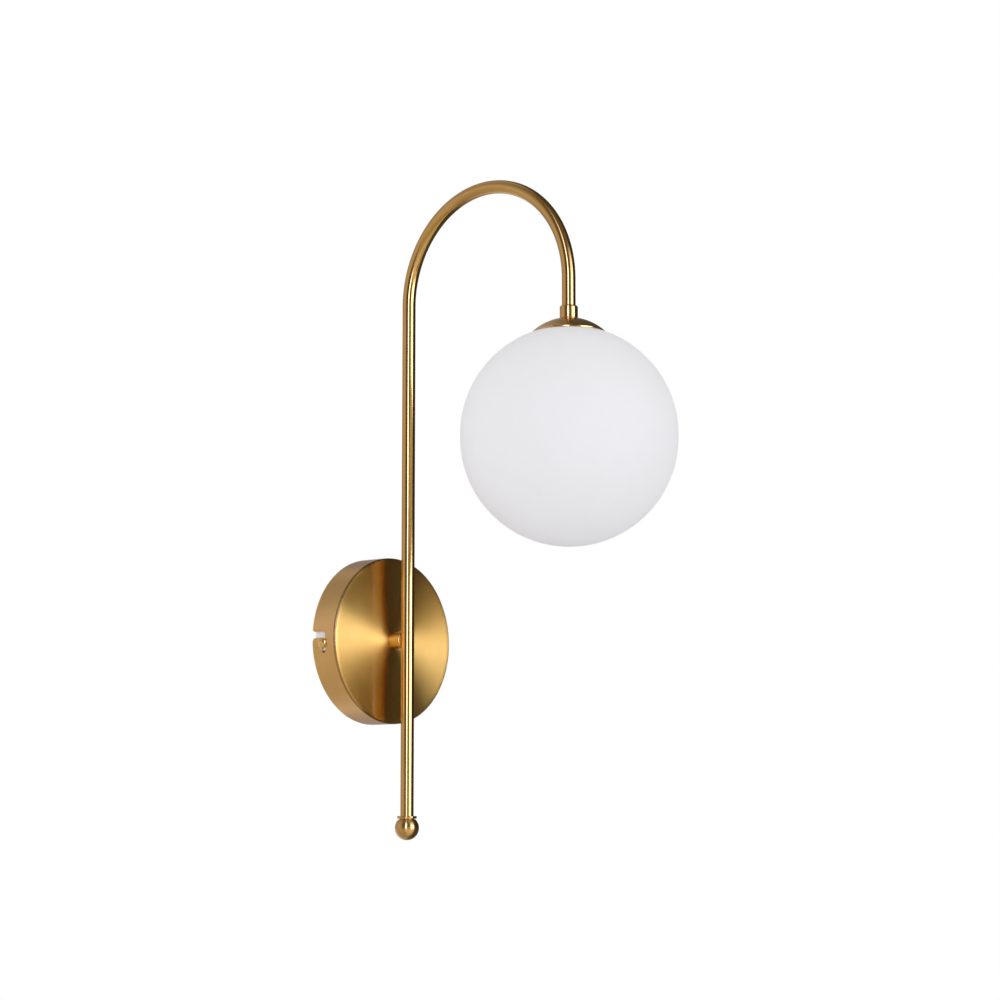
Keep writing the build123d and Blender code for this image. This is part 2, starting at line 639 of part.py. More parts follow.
# Lampholder: a ceramic body with two pin slots, two contact pockets and two screw holes
POCKET_L = CONTACT_W + 2 * LOOSE
POCKET_W = CONTACT_GAP + 2 * CONTACT_T + 2 * LOOSE
with BuildPart() as socket_body:
    with BuildSketch(head_level(SOCKET_FOOT_Z)):
        Circle(SOCKET_R)
    extrude(amount=SOCKET_L)
    chamfer(socket_body.edges().filter_by(GeomType.CIRCLE), length=SOCKET_CHAMFER)
    with BuildSketch(head_level(SOCKET_FOOT_Z)):
        with GridLocations(PIN_SPACING, 0, 2, 1):
            SlotOverall(POCKET_L, CONTACT_GAP)
        with GridLocations(0, 2 * SOCKET_SCREW_R, 1, 2):
            Circle(SMALL_SCREW_D / 2 + LOOSE)
    extrude(amount=SOCKET_L, mode=Mode.SUBTRACT)
    with BuildSketch(head_level(SOCKET_FOOT_Z + SOCKET_FLOOR)):
        with GridLocations(PIN_SPACING, 0, 2, 1):
            Rectangle(POCKET_L, POCKET_W)
    extrude(amount=SOCKET_L - SOCKET_FLOOR, mode=Mode.SUBTRACT)
    with BuildSketch(head_level(SOCKET_FOOT_Z)):
        with GridLocations(0, 2 * SOCKET_SCREW_R, 1, 2):
            Circle(SMALL_HEAD_D / 2 + LOOSE)
    extrude(amount=SMALL_HEAD_H, mode=Mode.SUBTRACT)

with BuildPart() as socket_contacts:
    leaf_foot = SOCKET_FOOT_Z + SOCKET_FLOOR + LOOSE
    bridge_z = SOCKET_TOP_Z - CONTACT_T
    for side in (-1, 1):
        with BuildSketch(Plane((side * PIN_X, -HEAD_REACH, 0), x_dir=(0, 1, 0), z_dir=(1, 0, 0))):
            with Locations((0, leaf_foot)):
                Rectangle(
                    CONTACT_GAP + 2 * CONTACT_T, SOCKET_TOP_Z - leaf_foot, align=(Align.CENTER, Align.MIN)
                )
                Rectangle(
                    CONTACT_GAP, bridge_z - leaf_foot, align=(Align.CENTER, Align.MIN), mode=Mode.SUBTRACT
                )
        extrude(amount=CONTACT_W / 2, both=True)
        barrel = Plane((side * PIN_X, -HEAD_REACH, SOCKET_TOP_Z))
        ring(barrel, BARREL_R, WIRE_R + FIT, BARREL_H)

with BuildPart() as socket_screws:
    for side in (-1, 1):
        seat = Plane(
            (0, -HEAD_REACH + side * SOCKET_SCREW_R, SOCKET_FOOT_Z + SMALL_HEAD_H), z_dir=(0, 0, -1)
        )
        shank = SOCKET_L - SMALL_HEAD_H + LEDGE_H - LOOSE
        pan_head_screw(seat, SMALL_SCREW_D, shank, SMALL_HEAD_D, SMALL_HEAD_H)

# Gasket under the dome, globe, and the threaded ring bonded into the globe's mouth. The globe's two
# halves are a short belt apart, so it is a little taller than wide.
with BuildPart() as globe_gasket:
    gasket_under = GLOBE_R + GASKET_PLAY
    gasket_over = gasket_under + GASKET_T
    gasket_in_r = MOUTH_R + RING_FLANGE_W + LOOSE
    gasket_out_r = gasket_in_r + GASKET_W
    with BuildSketch(HEAD):
        with BuildLine():
            cap_arc(gasket_under, gasket_in_r, gasket_out_r, GLOBE_Z)
            Line(on_sphere(gasket_under, gasket_out_r, GLOBE_Z), on_sphere(gasket_over, gasket_out_r, GLOBE_Z))
            cap_arc(gasket_over, gasket_out_r, gasket_in_r, GLOBE_Z)
            Line(on_sphere(gasket_over, gasket_in_r, GLOBE_Z), on_sphere(gasket_under, gasket_in_r, GLOBE_Z))
        make_face()
    revolve(axis=HEAD_AXIS)

with BuildPart() as globe:
    glass_in_r = GLOBE_R - GLASS_T
    lip_out = on_sphere(GLOBE_R, MOUTH_R, GLOBE_Z)
    lip_in = on_sphere(glass_in_r, MOUTH_R, GLOBE_Z)
    with BuildSketch(HEAD):
        with BuildLine():
            CenterArc((0, GLOBE_LOW_Z), GLOBE_R, -90, 90)
            Line((GLOBE_R, GLOBE_LOW_Z), (GLOBE_R, GLOBE_Z))
            cap_arc(GLOBE_R, GLOBE_R, MOUTH_R, GLOBE_Z)
            Line(lip_out, lip_in)
            cap_arc(glass_in_r, MOUTH_R, glass_in_r, GLOBE_Z)
            Line((glass_in_r, GLOBE_Z), (glass_in_r, GLOBE_LOW_Z))
            CenterArc((0, GLOBE_LOW_Z), glass_in_r, 0, -90)
            Line((0, GLOBE_LOW_Z - glass_in_r), (0, GLOBE_LOW_Z - GLOBE_R))
        make_face()
    revolve(axis=HEAD_AXIS)
    fillet(globe.edges().filter_by(GeomType.CIRCLE).group_by(Axis.Z)[-1], radius=GLASS_T / 3)

with BuildPart() as globe_ring:
    bore_r = THREAD_R + THREAD_PLAY
    skirt_r = MOUTH_R - RING_BOND
    flange_r = MOUTH_R + RING_FLANGE_W
    bond_r = GLOBE_R + RING_BOND
    flange_z = on_sphere(bond_r, skirt_r, GLOBE_Z)[1] + RING_FLANGE_T
    with BuildSketch(HEAD):
        with BuildLine():
            Polyline(
                on_sphere(bond_r, skirt_r, GLOBE_Z),
                (skirt_r, flange_z - THREAD_L),
                (bore_r, flange_z - THREAD_L),
                (bore_r, flange_z),
                (flange_r, flange_z),
                on_sphere(bond_r, flange_r, GLOBE_Z),
            )
            cap_arc(bond_r, flange_r, skirt_r, GLOBE_Z)
        make_face()
    revolve(axis=HEAD_AXIS)

# Bulb: a base with two looped pins, a chip board and a frosted cover
with BuildPart() as bulb_base:
    with BuildSketch(head_level(BULB_TOP_Z)):
        RectangleRounded(BULB_NECK_X, BULB_NECK_Y, BULB_NECK_Y / 4)
    extrude(amount=-BULB_NECK_H)
    with BuildSketch(head_level(BULB_SKIRT_Z)):
        Circle(BULB_R)
    extrude(amount=-BULB_SKIRT_H)

with BuildPart() as bulb_pins:
    loop_r = PIN_LOOP_W / 2
    for side in (-1, 1):
        with BuildLine(Plane((side * PIN_X, -HEAD_REACH, BULB_TOP_Z), (1, 0, 0), (0, -1, 0))) as loop:
            straight = PIN_L - loop_r - PIN_D / 2
            Line((-loop_r, 0), (-loop_r, straight))
            ThreePointArc((-loop_r, straight), (0, straight + loop_r), (loop_r, straight))
            Line((loop_r, straight), (loop_r, 0))
        with BuildSketch(Plane((side * PIN_X - loop_r, -HEAD_REACH, BULB_TOP_Z))):
            Circle(PIN_D / 2)
        sweep(path=loop.line)

with BuildPart() as bulb_envelope:
    with BuildSketch(HEAD):
        with BuildLine():
            dome_start = BULB_SEAT_Z - BULB_L + BULB_R
            inner_r = BULB_R - BULB_WALL
            Line((inner_r, BULB_SEAT_Z), (BULB_R, BULB_SEAT_Z))
            Line((BULB_R, BULB_SEAT_Z), (BULB_R, dome_start))
            CenterArc((0, dome_start), BULB_R, 0, -90)
            Line((0, dome_start - BULB_R), (0, dome_start - inner_r))
            CenterArc((0, dome_start), inner_r, -90, 90)
            Line((inner_r, dome_start), (inner_r, BULB_SEAT_Z))
        make_face()
    revolve(axis=HEAD_AXIS)

with BuildPart() as bulb_board:
    board_l = BULB_L - BULB_R - BOARD_END_GAP
    with BuildSketch(head_level(BULB_SEAT_Z)):
        Rectangle(BOARD_W, BOARD_T)
    extrude(amount=-board_l)
    with BuildSketch(HEAD.offset(BOARD_T / 2)):
        with Locations((0, BULB_SEAT_Z - board_l / 2)):
            with GridLocations(CHIP_PITCH, CHIP_PITCH, 2, CHIP_ROWS):
                Rectangle(CHIP_SIZE, CHIP_SIZE)
    extrude(amount=CHIP_T)

# Terminal block: poles side by side, each a barrel with two screw towers
with BuildPart() as terminal_block:
    end_face = Plane((0, -TERMINAL_SEAT, BLOCK_Z), x_dir=(1, 0, 0), z_dir=(0, 0, 1))
    with BuildSketch(end_face):
        with GridLocations(POLE_PITCH, 0, POLES, 1):
            Rectangle(POLE_D, POLE_AXIS_H, align=(Align.CENTER, Align.MIN))
            with Locations((0, POLE_AXIS_H)):
                Circle(POLE_D / 2)
        Rectangle(POLE_PITCH * (POLES - 1), BLOCK_WEB_H, align=(Align.CENTER, Align.MIN))
    extrude(amount=BLOCK_L / 2, both=True)
    with BuildSketch(BLOCK.offset(POLE_AXIS_H)):
        with GridLocations(POLE_PITCH, 2 * TERMINAL_SCREW_V, POLES, 2):
            Circle(TOWER_D / 2)
    extrude(amount=TOWER_TOP_H - POLE_AXIS_H)
    with BuildSketch(BLOCK.offset(POLE_AXIS_H)):
        with GridLocations(POLE_PITCH, 2 * TERMINAL_SCREW_V, POLES, 2):
            Circle(TOWER_BORE_D / 2)
    extrude(amount=TOWER_TOP_H - POLE_AXIS_H, mode=Mode.SUBTRACT)
    with BuildSketch(end_face):
        with GridLocations(POLE_PITCH, 0, POLES, 1):
            with Locations((0, POLE_AXIS_H)):
                Circle(SLEEVE_D / 2 + FIT)
    extrude(amount=BLOCK_L / 2, both=True, mode=Mode.SUBTRACT)
    with BuildSketch(BLOCK):
        with GridLocations(POLE_PITCH, 0, POLES - 1, 1):
            Circle(SMALL_SCREW_D / 2 + LOOSE)
    extrude(amount=BLOCK_WEB_H, mode=Mode.SUBTRACT)
    with BuildSketch(BLOCK.offset(BLOCK_WEB_H)):
        with GridLocations(POLE_PITCH, 0, POLES - 1, 1):
            Circle(SMALL_HEAD_D / 2 + LOOSE)
    extrude(amount=TOWER_TOP_H, mode=Mode.SUBTRACT)

with BuildPart() as terminal_sleeves:
    with BuildSketch(end_face):
        with GridLocations(POLE_PITCH, 0, POLES, 1):
            with Locations((0, POLE_AXIS_H)):
                Circle(SLEEVE_D / 2)
                Circle(SLEEVE_BORE_D / 2, mode=Mode.SUBTRACT)
    extrude(amount=BLOCK_L / 2 - SLEEVE_INSET, both=True)
    with BuildSketch(BLOCK.offset(POLE_AXIS_H)):
        with GridLocations(POLE_PITCH, 2 * TERMINAL_SCREW_V, POLES, 2):
            Circle(TERMINAL_SCREW_D / 2 + FIT)
    extrude(amount=SLEEVE_D, mode=Mode.SUBTRACT)

with BuildPart() as terminal_screws:
    screw_foot = POLE_AXIS_H + WIRE_R + FIT
    places = GridLocations(POLE_PITCH, 2 * TERMINAL_SCREW_V, POLES, 2)
    with BuildSketch(BLOCK.offset(screw_foot)):
        with places:
            Circle(TERMINAL_SCREW_D / 2)
    extrude(amount=TERMINAL_TOP_H - screw_foot)
    with BuildSketch(BLOCK.offset(TERMINAL_TOP_H - TERMINAL_HEAD_H)):
        with places:
            Circle(TOWER_BORE_D / 2 - LOOSE)
    extrude(amount=TERMINAL_HEAD_H)
    with BuildSketch(BLOCK.offset(TERMINAL_TOP_H)):
        with places:
            Rectangle(TOWER_BORE_D, TERMINAL_SCREW_D / 4)
    extrude(amount=-TERMINAL_HEAD_H / 2, mode=Mode.SUBTRACT)

with BuildPart() as terminal_fixings:
    for side in (-1, 1):
        seat = Plane(
            (side * POLE_PITCH / 2, BLOCK_WEB_H - TERMINAL_SEAT, BLOCK_Z), x_dir=(1, 0, 0), z_dir=(0, 1, 0)
        )
        shank = BLOCK_WEB_H + STRAP_T + STRAP_JOG / 2
        pan_head_screw(seat, SMALL_SCREW_D, shank, SMALL_HEAD_D, SMALL_HEAD_H)

# Earth terminal at the strap's lower end
with BuildPart() as earth_washer:
    lock_washer(EARTH, SCREW_D, SCREW_HEAD_D / 2)

with BuildPart() as earth_lug:
    lug = EARTH.offset(WASHER_T)
    barrel_end = LUG_RING_R + LUG_BARREL_L
    with BuildSketch(lug):
        Circle(LUG_RING_R)
        Rectangle(barrel_end, 2 * LUG_BARREL_R, align=(Align.MAX, Align.CENTER))
        Circle(SCREW_D / 2 + LOOSE, mode=Mode.SUBTRACT)
    extrude(amount=LUG_T)
    mouth = Plane((barrel_end, -LUG_BARREL_SETBACK, -EARTH_Z), z_dir=(1, 0, 0))
    with BuildSketch(mouth):
        Circle(LUG_BARREL_R)
    extrude(amount=LUG_BARREL_WALL - LUG_BARREL_L)
    drill(mouth, WIRE_R + FIT, LUG_BARREL_L - LUG_BARREL_WALL)

with BuildPart() as earth_screw:
    pan_head_screw(
        EARTH.offset(WASHER_T + LUG_T),
        SCREW_D,
        WASHER_T + LUG_T + STRAP_T + STRAP_JOG / 2,
        SCREW_HEAD_D,
        SCREW_HEAD_H,
    )

# Wires: live and neutral from the block through nipple, coupling, tube and head to the contacts
pole_end_z = BLOCK_Z - BLOCK_L / 2


def lamp_wire(side):
    """One conductor on its side of the lamp's middle plane."""
    x = side * WIRE_X
    pole_x = side * POLE_PITCH
    with BuildPart() as wire:
        with BuildLine() as route:
            FilletPolyline(
                (pole_x, -POLE_SETBACK, pole_end_z + WIRE_GRIP),
                (pole_x, -POLE_SETBACK, pole_end_z - WIRE_BEND),
                ((x + pole_x) / 2, -WIRE_OUT, pole_end_z / 2),
                (x, -WIRE_OUT, 0),
                (x, -ARM_SETBACK, 0),
                (x, -ARM_SETBACK, ARCH_Z),
                radius=WIRE_BEND,
            )
            ThreePointArc(
                (x, -ARM_SETBACK, ARCH_Z),
                (x, -ARM_SETBACK - ARCH_R, ARCH_Z + ARCH_R),
                (x, -HEAD_REACH, ARCH_Z),
            )
            FilletPolyline(
                (x, -HEAD_REACH, ARCH_Z),
                (x, -HEAD_REACH, HEAD_NIPPLE_END_Z),
                (side * PIN_X, -HEAD_REACH, SOCKET_TOP_Z + BARREL_H + WIRE_BEND / 2),
                (side * PIN_X, -HEAD_REACH, SOCKET_TOP_Z + FIT),
                radius=WIRE_BEND / 2,
            )
        with BuildSketch(Plane(route.line @ 0, z_dir=route.line % 0)):
            Circle(WIRE_R)
        sweep(path=route.line)
    return wire


wire_live = lamp_wire(-1)
wire_neutral = lamp_wire(1)

# Earth wire: from the middle pole, round the arm nut, to the lug on the strap
with BuildPart() as wire_earth:
    run_back = TERMINAL_SEAT - WIRE_R - LOOSE
    with BuildLine() as earth_route:
        FilletPolyline(
            (0, -POLE_SETBACK, pole_end_z + WIRE_GRIP),
            (0, -POLE_SETBACK, pole_end_z - EARTH_WIRE_BEND),
            (0, -run_back, JOG_END),
            (EARTH_WIRE_X, -run_back, JOG_START / 2),
            (EARTH_WIRE_X, -LUG_BARREL_SETBACK, -EARTH_Z),
            (LUG_RING_R + LUG_BARREL_WALL, -LUG_BARREL_SETBACK, -EARTH_Z),
            radius=EARTH_WIRE_BEND / 2,
        )
    with BuildSketch(Plane(earth_route.line @ 0, z_dir=earth_route.line % 0)):
        Circle(WIRE_R)
    sweep(path=earth_route.line)

pieces = {
    "wall_bracket": wall_bracket,
    "canopy_screws": canopy_screws,
    "canopy": canopy,
    "terminal_strap": terminal_strap,
    "arm_coupling": arm_coupling,
    "arm_nipple": arm_nipple,
    "arm_lock_washer": arm_lock_washer,
    "arm_nut": arm_nut,
    "nipple_bush": nipple_bush,
    "arm_tube": arm_tube,
    "tube_plug": tube_plug,
    "finial_stud": finial_stud,
    "finial": finial,
    "collar": collar,
    "dome_cap": dome_cap,
    "head_nipple": head_nipple,
    "head_lock_washer": head_lock_washer,
    "head_nut": head_nut,
    "holder_sleeve": holder_sleeve,
    "socket_body": socket_body,
    "socket_contacts": socket_contacts,
    "socket_screws": socket_screws,
    "globe_gasket": globe_gasket,
    "globe": globe,
    "globe_ring": globe_ring,
    "bulb_base": bulb_base,
    "bulb_pins": bulb_pins,
    "bulb_board": bulb_board,
    "bulb_envelope": bulb_envelope,
    "terminal_block": terminal_block,
    "terminal_sleeves": terminal_sleeves,
    "terminal_screws": terminal_screws,
    "terminal_fixings": terminal_fixings,
    "earth_lug": earth_lug,
    "earth_washer": earth_washer,
    "earth_screw": earth_screw,
    "wire_live": wire_live,
    "wire_neutral": wire_neutral,
    "wire_earth": wire_earth,
}

os.makedirs("parts", exist_ok=True)
for label, piece in pieces.items():
    piece.part.label = label
    export_step(piece.part, f"parts/{label}.step")
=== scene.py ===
import math

import bmesh
import bpy
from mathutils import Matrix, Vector


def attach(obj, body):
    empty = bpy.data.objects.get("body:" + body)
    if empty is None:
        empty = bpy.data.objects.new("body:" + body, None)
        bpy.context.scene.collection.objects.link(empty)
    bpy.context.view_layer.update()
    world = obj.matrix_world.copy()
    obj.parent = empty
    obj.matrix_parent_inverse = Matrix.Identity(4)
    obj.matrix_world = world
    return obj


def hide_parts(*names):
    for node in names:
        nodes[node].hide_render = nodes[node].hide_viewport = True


# A wall lamp in satin brass with an opal globe. Metres, in the CAD frame: the wall is y = 0, the
# lamp stands out to -Y and +Z is up.

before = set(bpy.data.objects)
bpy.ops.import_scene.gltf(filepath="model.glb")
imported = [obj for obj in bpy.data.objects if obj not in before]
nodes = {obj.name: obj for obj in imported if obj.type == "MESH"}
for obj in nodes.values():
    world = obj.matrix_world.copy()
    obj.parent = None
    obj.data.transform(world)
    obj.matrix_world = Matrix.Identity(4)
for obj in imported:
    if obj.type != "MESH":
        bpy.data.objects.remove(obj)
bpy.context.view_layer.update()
scene = bpy.context.scene
scene.view_settings.view_transform = "Standard"

MM = 0.001

# Arm: the bent tube
ARM_SETBACK = 36.95 * MM
ARCH_R = 76.1 * MM
ARCH_Z = 243.95 * MM
HEAD_REACH = ARM_SETBACK + 2 * ARCH_R
TUBE_R = 4.75 * MM
TUBE_WALL = 0.8 * MM
TUBE_FOOT_Z = -125.7 * MM
TUBE_END_Z = 219.45 * MM

# Finial: flange, groove and ball, bored from above for its stud
FLANGE_TOP_R = 7.1 * MM
FLANGE_TOP_ROUND = 0.5 * MM
FLANGE_FOOT_R = 6.9 * MM
FLANGE_FOOT_ROUND = 0.25 * MM
FLANGE_FOOT_Z = TUBE_FOOT_Z - 1.9 * MM
GROOVE_R = 5.3 * MM
GROOVE_ROUND = 0.15 * MM
BALL_TOP_Z = TUBE_FOOT_Z - 2.4 * MM
BALL_R = 8.65 * MM
BALL_Z = -134.18 * MM
BORE_R = 2.05 * MM
BORE_FOOT_Z = TUBE_FOOT_Z - 5.7 * MM
BORE_ROUND = 0.2 * MM

# Canopy. Its polished edge, painted darker as a painted shadow line, starts this far behind the
# face and inside the rim, and a soft shoulder leads to it over the face.
CANOPY_R = 60.0 * MM
CANOPY_DEPTH = 23.0 * MM
EDGE_BACK = 1.8 * MM
EDGE_IN = 1.2 * MM
EDGE_FADE = 0.4 * MM
SHOULDER_W = 2.6 * MM
SHOULDER_FALL = 0.6 * MM

# Head: dome, globe and the soft ring between them
LAND_Z = 214.95 * MM
LAND_R = 9.0 * MM
DOME_R = 37.3 * MM
DOME_WALL = 1.0 * MM
DOME_ROUND = 0.3 * MM
DOME_RIM_R = 24.9 * MM
DOME_LIP = 0.57 * MM
LIP_GAP = 0.15 * MM
LIP_ROUND = 0.2 * MM
DOME_HOLE_R = 4.1 * MM
HOLE_ROUND = 0.2 * MM
DOME_Z = LAND_Z - math.sqrt(DOME_R**2 - LAND_R**2)
RIM_Z = DOME_Z + math.sqrt(DOME_R**2 - DOME_RIM_R**2) - DOME_LIP
GLOBE_R = 75.0 * MM
SEAT_R = GLOBE_R + 0.45 * MM
GLOBE_Z = RIM_Z - math.sqrt(SEAT_R**2 - DOME_RIM_R**2)
SEAL_IN_R = 17.5 * MM
SEAL_OUT_R = 21.3 * MM
SEAL_LOW_R = GLOBE_R + 0.3 * MM
SEAL_HIGH_R = GLOBE_R + 1.3 * MM
SEAL_ROUND = 0.2 * MM
# Faces of the bulb's light chips lie further than this from the middle of their board
CHIP_OUT = 0.62 * MM

# Camera: in front and to the left, a little below the lamp, looking slightly up
CAMERA_AZIMUTH = math.radians(-48.4975)
CAMERA_PITCH = math.radians(-6.9022)
CAMERA_DISTANCE = 1.9077
CAMERA_SIDE = 0.0941
CAMERA_RISE = 0.10374
LENS = 94.22
SENSOR = 36.0


def way_to(azimuth, elevation):
    """The way out from the lamp: azimuth 0 is straight in front, and it grows towards +X."""
    level = math.cos(elevation)
    return Vector((math.sin(azimuth) * level, -math.cos(azimuth) * level, math.sin(elevation)))


def make_camera():
    back = way_to(CAMERA_AZIMUTH, CAMERA_PITCH)
    right = Vector((math.cos(CAMERA_AZIMUTH), math.sin(CAMERA_AZIMUTH), 0))
    up = back.cross(right)
    data = bpy.data.cameras.new("camera")
    data.lens = LENS
    data.sensor_width = SENSOR
    camera = bpy.data.objects.new("camera", data)
    camera.location = back * CAMERA_DISTANCE + right * CAMERA_SIDE + up * CAMERA_RISE
    camera.rotation_mode = "QUATERNION"
    camera.rotation_quaternion = (-back).to_track_quat("-Z", "Y")
    scene.collection.objects.link(camera)
    scene.camera = camera


make_camera()


# Shader helpers
def link(tree, socket, value):
    """Give a socket a value, or link it to another socket."""
    if isinstance(value, bpy.types.NodeSocket):
        tree.links.new(value, socket)
    else:
        socket.default_value = value


def feed(tree, node, **inputs):
    """Fill a node's inputs, named with _ for a space."""
    for name, value in inputs.items():
        link(tree, node.inputs[name.replace("_", " ")], value)


def put(tree, kind, settings=None, **inputs):
    """Add a node and fill its inputs."""
    node = tree.nodes.new("ShaderNode" + kind)
    for name, value in (settings or {}).items():
        setattr(node, name, value)
    feed(tree, node, **inputs)
    return node


def calc(tree, operation, *values):
    """A Math node's result."""
    node = put(tree, "Math", {"operation": operation})
    for socket, value in zip(node.inputs, values):
        link(tree, socket, value)
    return node.outputs[0]


def span(tree, value, low, high, to_low, to_high, shape="LINEAR"):
    """Stretch a value's range to another, held at both ends."""
    node = put(tree, "MapRange", {"interpolation_type": shape}, Value=value)
    feed(tree, node, From_Min=low, From_Max=high, To_Min=to_low, To_Max=to_high)
    return node.outputs[0]


# Places of a Mix node's two inputs and its output, by what it mixes
MIX_PLACES = {"FLOAT": (2, 3, 0), "VECTOR": (4, 5, 1), "RGBA": (6, 7, 2)}


def mix(tree, kind, factor, first, second):
    """A Mix node's result: first where the factor is 0, second where it is 1."""
    node = put(tree, "Mix", {"data_type": kind})
    first_place, second_place, result = MIX_PLACES[kind]
    for place, value in ((0, factor), (first_place, first), (second_place, second)):
        link(tree, node.inputs[place], value)
    return node.outputs[result]


def rgb(red, green, blue):
    return (red, green, blue, 1.0)


def start_group(name, inputs, outputs):
    """An empty node group with named sockets; gives the tree and its two ends' sockets."""
    tree = bpy.data.node_groups.new(name, "ShaderNodeTree")
    for socket, kind, default in inputs:
        made = tree.interface.new_socket(socket, in_out="INPUT", socket_type="NodeSocket" + kind)
        if default is not None:
            made.default_value = default
    for socket, kind in outputs:
        tree.interface.new_socket(socket, in_out="OUTPUT", socket_type="NodeSocket" + kind)
    ins = tree.nodes.new("NodeGroupInput").outputs
    outs = tree.nodes.new("NodeGroupOutput").inputs
    return tree, ins, outs


def use_group(tree, group, **inputs):
    return put(tree, "Group", {"node_tree": group}, **inputs).outputs


def start_material(name):
    """A new material; gives it with its tree and its Principled BSDF."""
    material = bpy.data.materials.new(name)
    material.use_nodes = True
    tree = material.node_tree
    return material, tree, tree.nodes["Principled BSDF"]


def place_on(tree):
    """Object coordinates, which are the CAD frame's metres at rest."""
    return put(tree, "TexCoord").outputs["Object"]


def axes(tree, vector):
    """A vector's X, Y and Z."""
    return put(tree, "SeparateXYZ", Vector=vector).outputs


def noise(tree, settings=None, **inputs):
    return put(tree, "TexNoise", settings, **inputs).outputs[0]


def bump(tree, height, strength, distance):
    return put(tree, "Bump", Height=height, Strength=strength, Distance=distance).outputs[0]


# Effects shared by several materials
def make_brush_lines():
    """Fine lines left by brushing: they change fast across and slowly along."""
    tree, ins, outs = start_group(
        "brush_lines",
        [("Across", "Float", 0.0), ("Along", "Float", 0.0), ("Fineness", "Float", 3000.0)],
        [("Lines", "Float"), ("Height", "Float")],
    )
    across = calc(tree, "MULTIPLY", ins["Across"], ins["Fineness"])
    spot = put(tree, "CombineXYZ", X=across, Y=ins["Along"]).outputs[0]
    flat = {"noise_dimensions": "2D"}
    fine = noise(tree, flat, Vector=spot, Scale=1.0, Detail=3.0)
    broad = noise(tree, flat, Vector=spot, Scale=0.13, Detail=2.0)
    lines = calc(tree, "MULTIPLY_ADD", broad, 0.45, calc(tree, "MULTIPLY", fine, 0.55))
    link(tree, outs["Lines"], lines)
    link(tree, outs["Height"], fine)
    return tree


def make_patina():
    """Slow darkening of lacquered brass, in soft clouds."""
    tree, ins, outs = start_group(
        "patina",
        [
            ("Vector", "Vector", None),
            ("Clean", "Color", rgb(0.8, 0.5, 0.2)),
            ("Aged", "Color", rgb(0.7, 0.4, 0.1)),
        ],
        [("Color", "Color")],
    )
    cloud = noise(tree, Vector=ins["Vector"], Scale=38.0, Detail=4.0, Roughness=0.6)
    mask = span(tree, cloud, 0.35, 0.75, 0.0, 1.0)
    link(tree, outs["Color"], mix(tree, "RGBA", mask, ins["Clean"], ins["Aged"]))
    return tree


def make_fine_grain():
    """The even, fine tooth of moulded, pressed or fired surfaces, and its slow change."""
    tree, ins, outs = start_group(
        "fine_grain",
        [("Vector", "Vector", None), ("Grains per metre", "Float", 2500.0)],
        [("Height", "Float"), ("Speck", "Float")],
    )
    grain = noise(tree, Vector=ins["Vector"], Scale=ins["Grains per metre"], Detail=2.0)
    slow = noise(tree, Vector=ins["Vector"], Scale=90.0, Detail=3.0)
    link(tree, outs["Height"], grain)
    link(tree, outs["Speck"], span(tree, slow, 0.3, 0.7, 0.0, 1.0))
    return tree


BRUSH_LINES = make_brush_lines()
PATINA = make_patina()
FINE_GRAIN = make_fine_grain()


def brushed(tree, across, along):
    return use_group(tree, BRUSH_LINES, Across=across, Along=along, Fineness=2600.0)


def aged(tree, tone):
    """Colour of brass between a clean and an aged tone."""
    return use_group(tree, PATINA, Vector=place_on(tree), Clean=tone[0], Aged=tone[1])["Color"]


def grained(tree, per_metre):
    return use_group(tree, FINE_GRAIN, Vector=place_on(tree), Grains_per_metre=per_metre)


def by_lines(tree, lines, low, high):
    return span(tree, lines["Lines"], 0.3, 0.7, low, high)


def by_specks(tree, grain, low, high):
    return span(tree, grain["Speck"], 0.0, 1.0, low, high)


# Brass tones: clean and aged
PALE = (rgb(0.820, 0.520, 0.150), rgb(0.760, 0.465, 0.126))
DEEP = (rgb(0.610, 0.384, 0.110), rgb(0.564, 0.344, 0.092))
FACE = (rgb(0.772, 0.476, 0.112), rgb(0.712, 0.424, 0.093))
YELLOW = (rgb(0.92, 0.66, 0.24), rgb(0.82, 0.54, 0.17))
# Dark tone painted on the canopy's polished edge: painted shade, the dark line between rim and
# face
EDGE_SHADE_TONE = rgb(0.400, 0.240, 0.070)
EDGE_ROUGHNESS = 0.24
LACQUER_ROUGHNESS = 0.06
# Depth of brushing, of a plated or glass grain, and of a moulded tooth
LINE_DEPTH = 0.02 * MM
GRAIN_DEPTH = 0.03 * MM
TOOTH_DEPTH = 0.04 * MM


def turned_about(tree, axis, centre):
    """Coordinates of a turned piece: radius, height along the axis, and angle round it."""
    spot = put(tree, "VectorMath", {"operation": "SUBTRACT"})
    link(tree, spot.inputs[0], place_on(tree))
    link(tree, spot.inputs[1], centre)
    parts = axes(tree, spot.outputs[0])
    first, second, height = {"Y": (0, 2, 1), "Z": (0, 1, 2)}[axis]
    squared = calc(tree, "POWER", parts[second], 2.0)
    radius = calc(tree, "SQRT", calc(tree, "MULTIPLY_ADD", parts[first], parts[first], squared))
    around = calc(tree, "ARCTAN2", parts[second], parts[first])
    return radius, parts[height], around


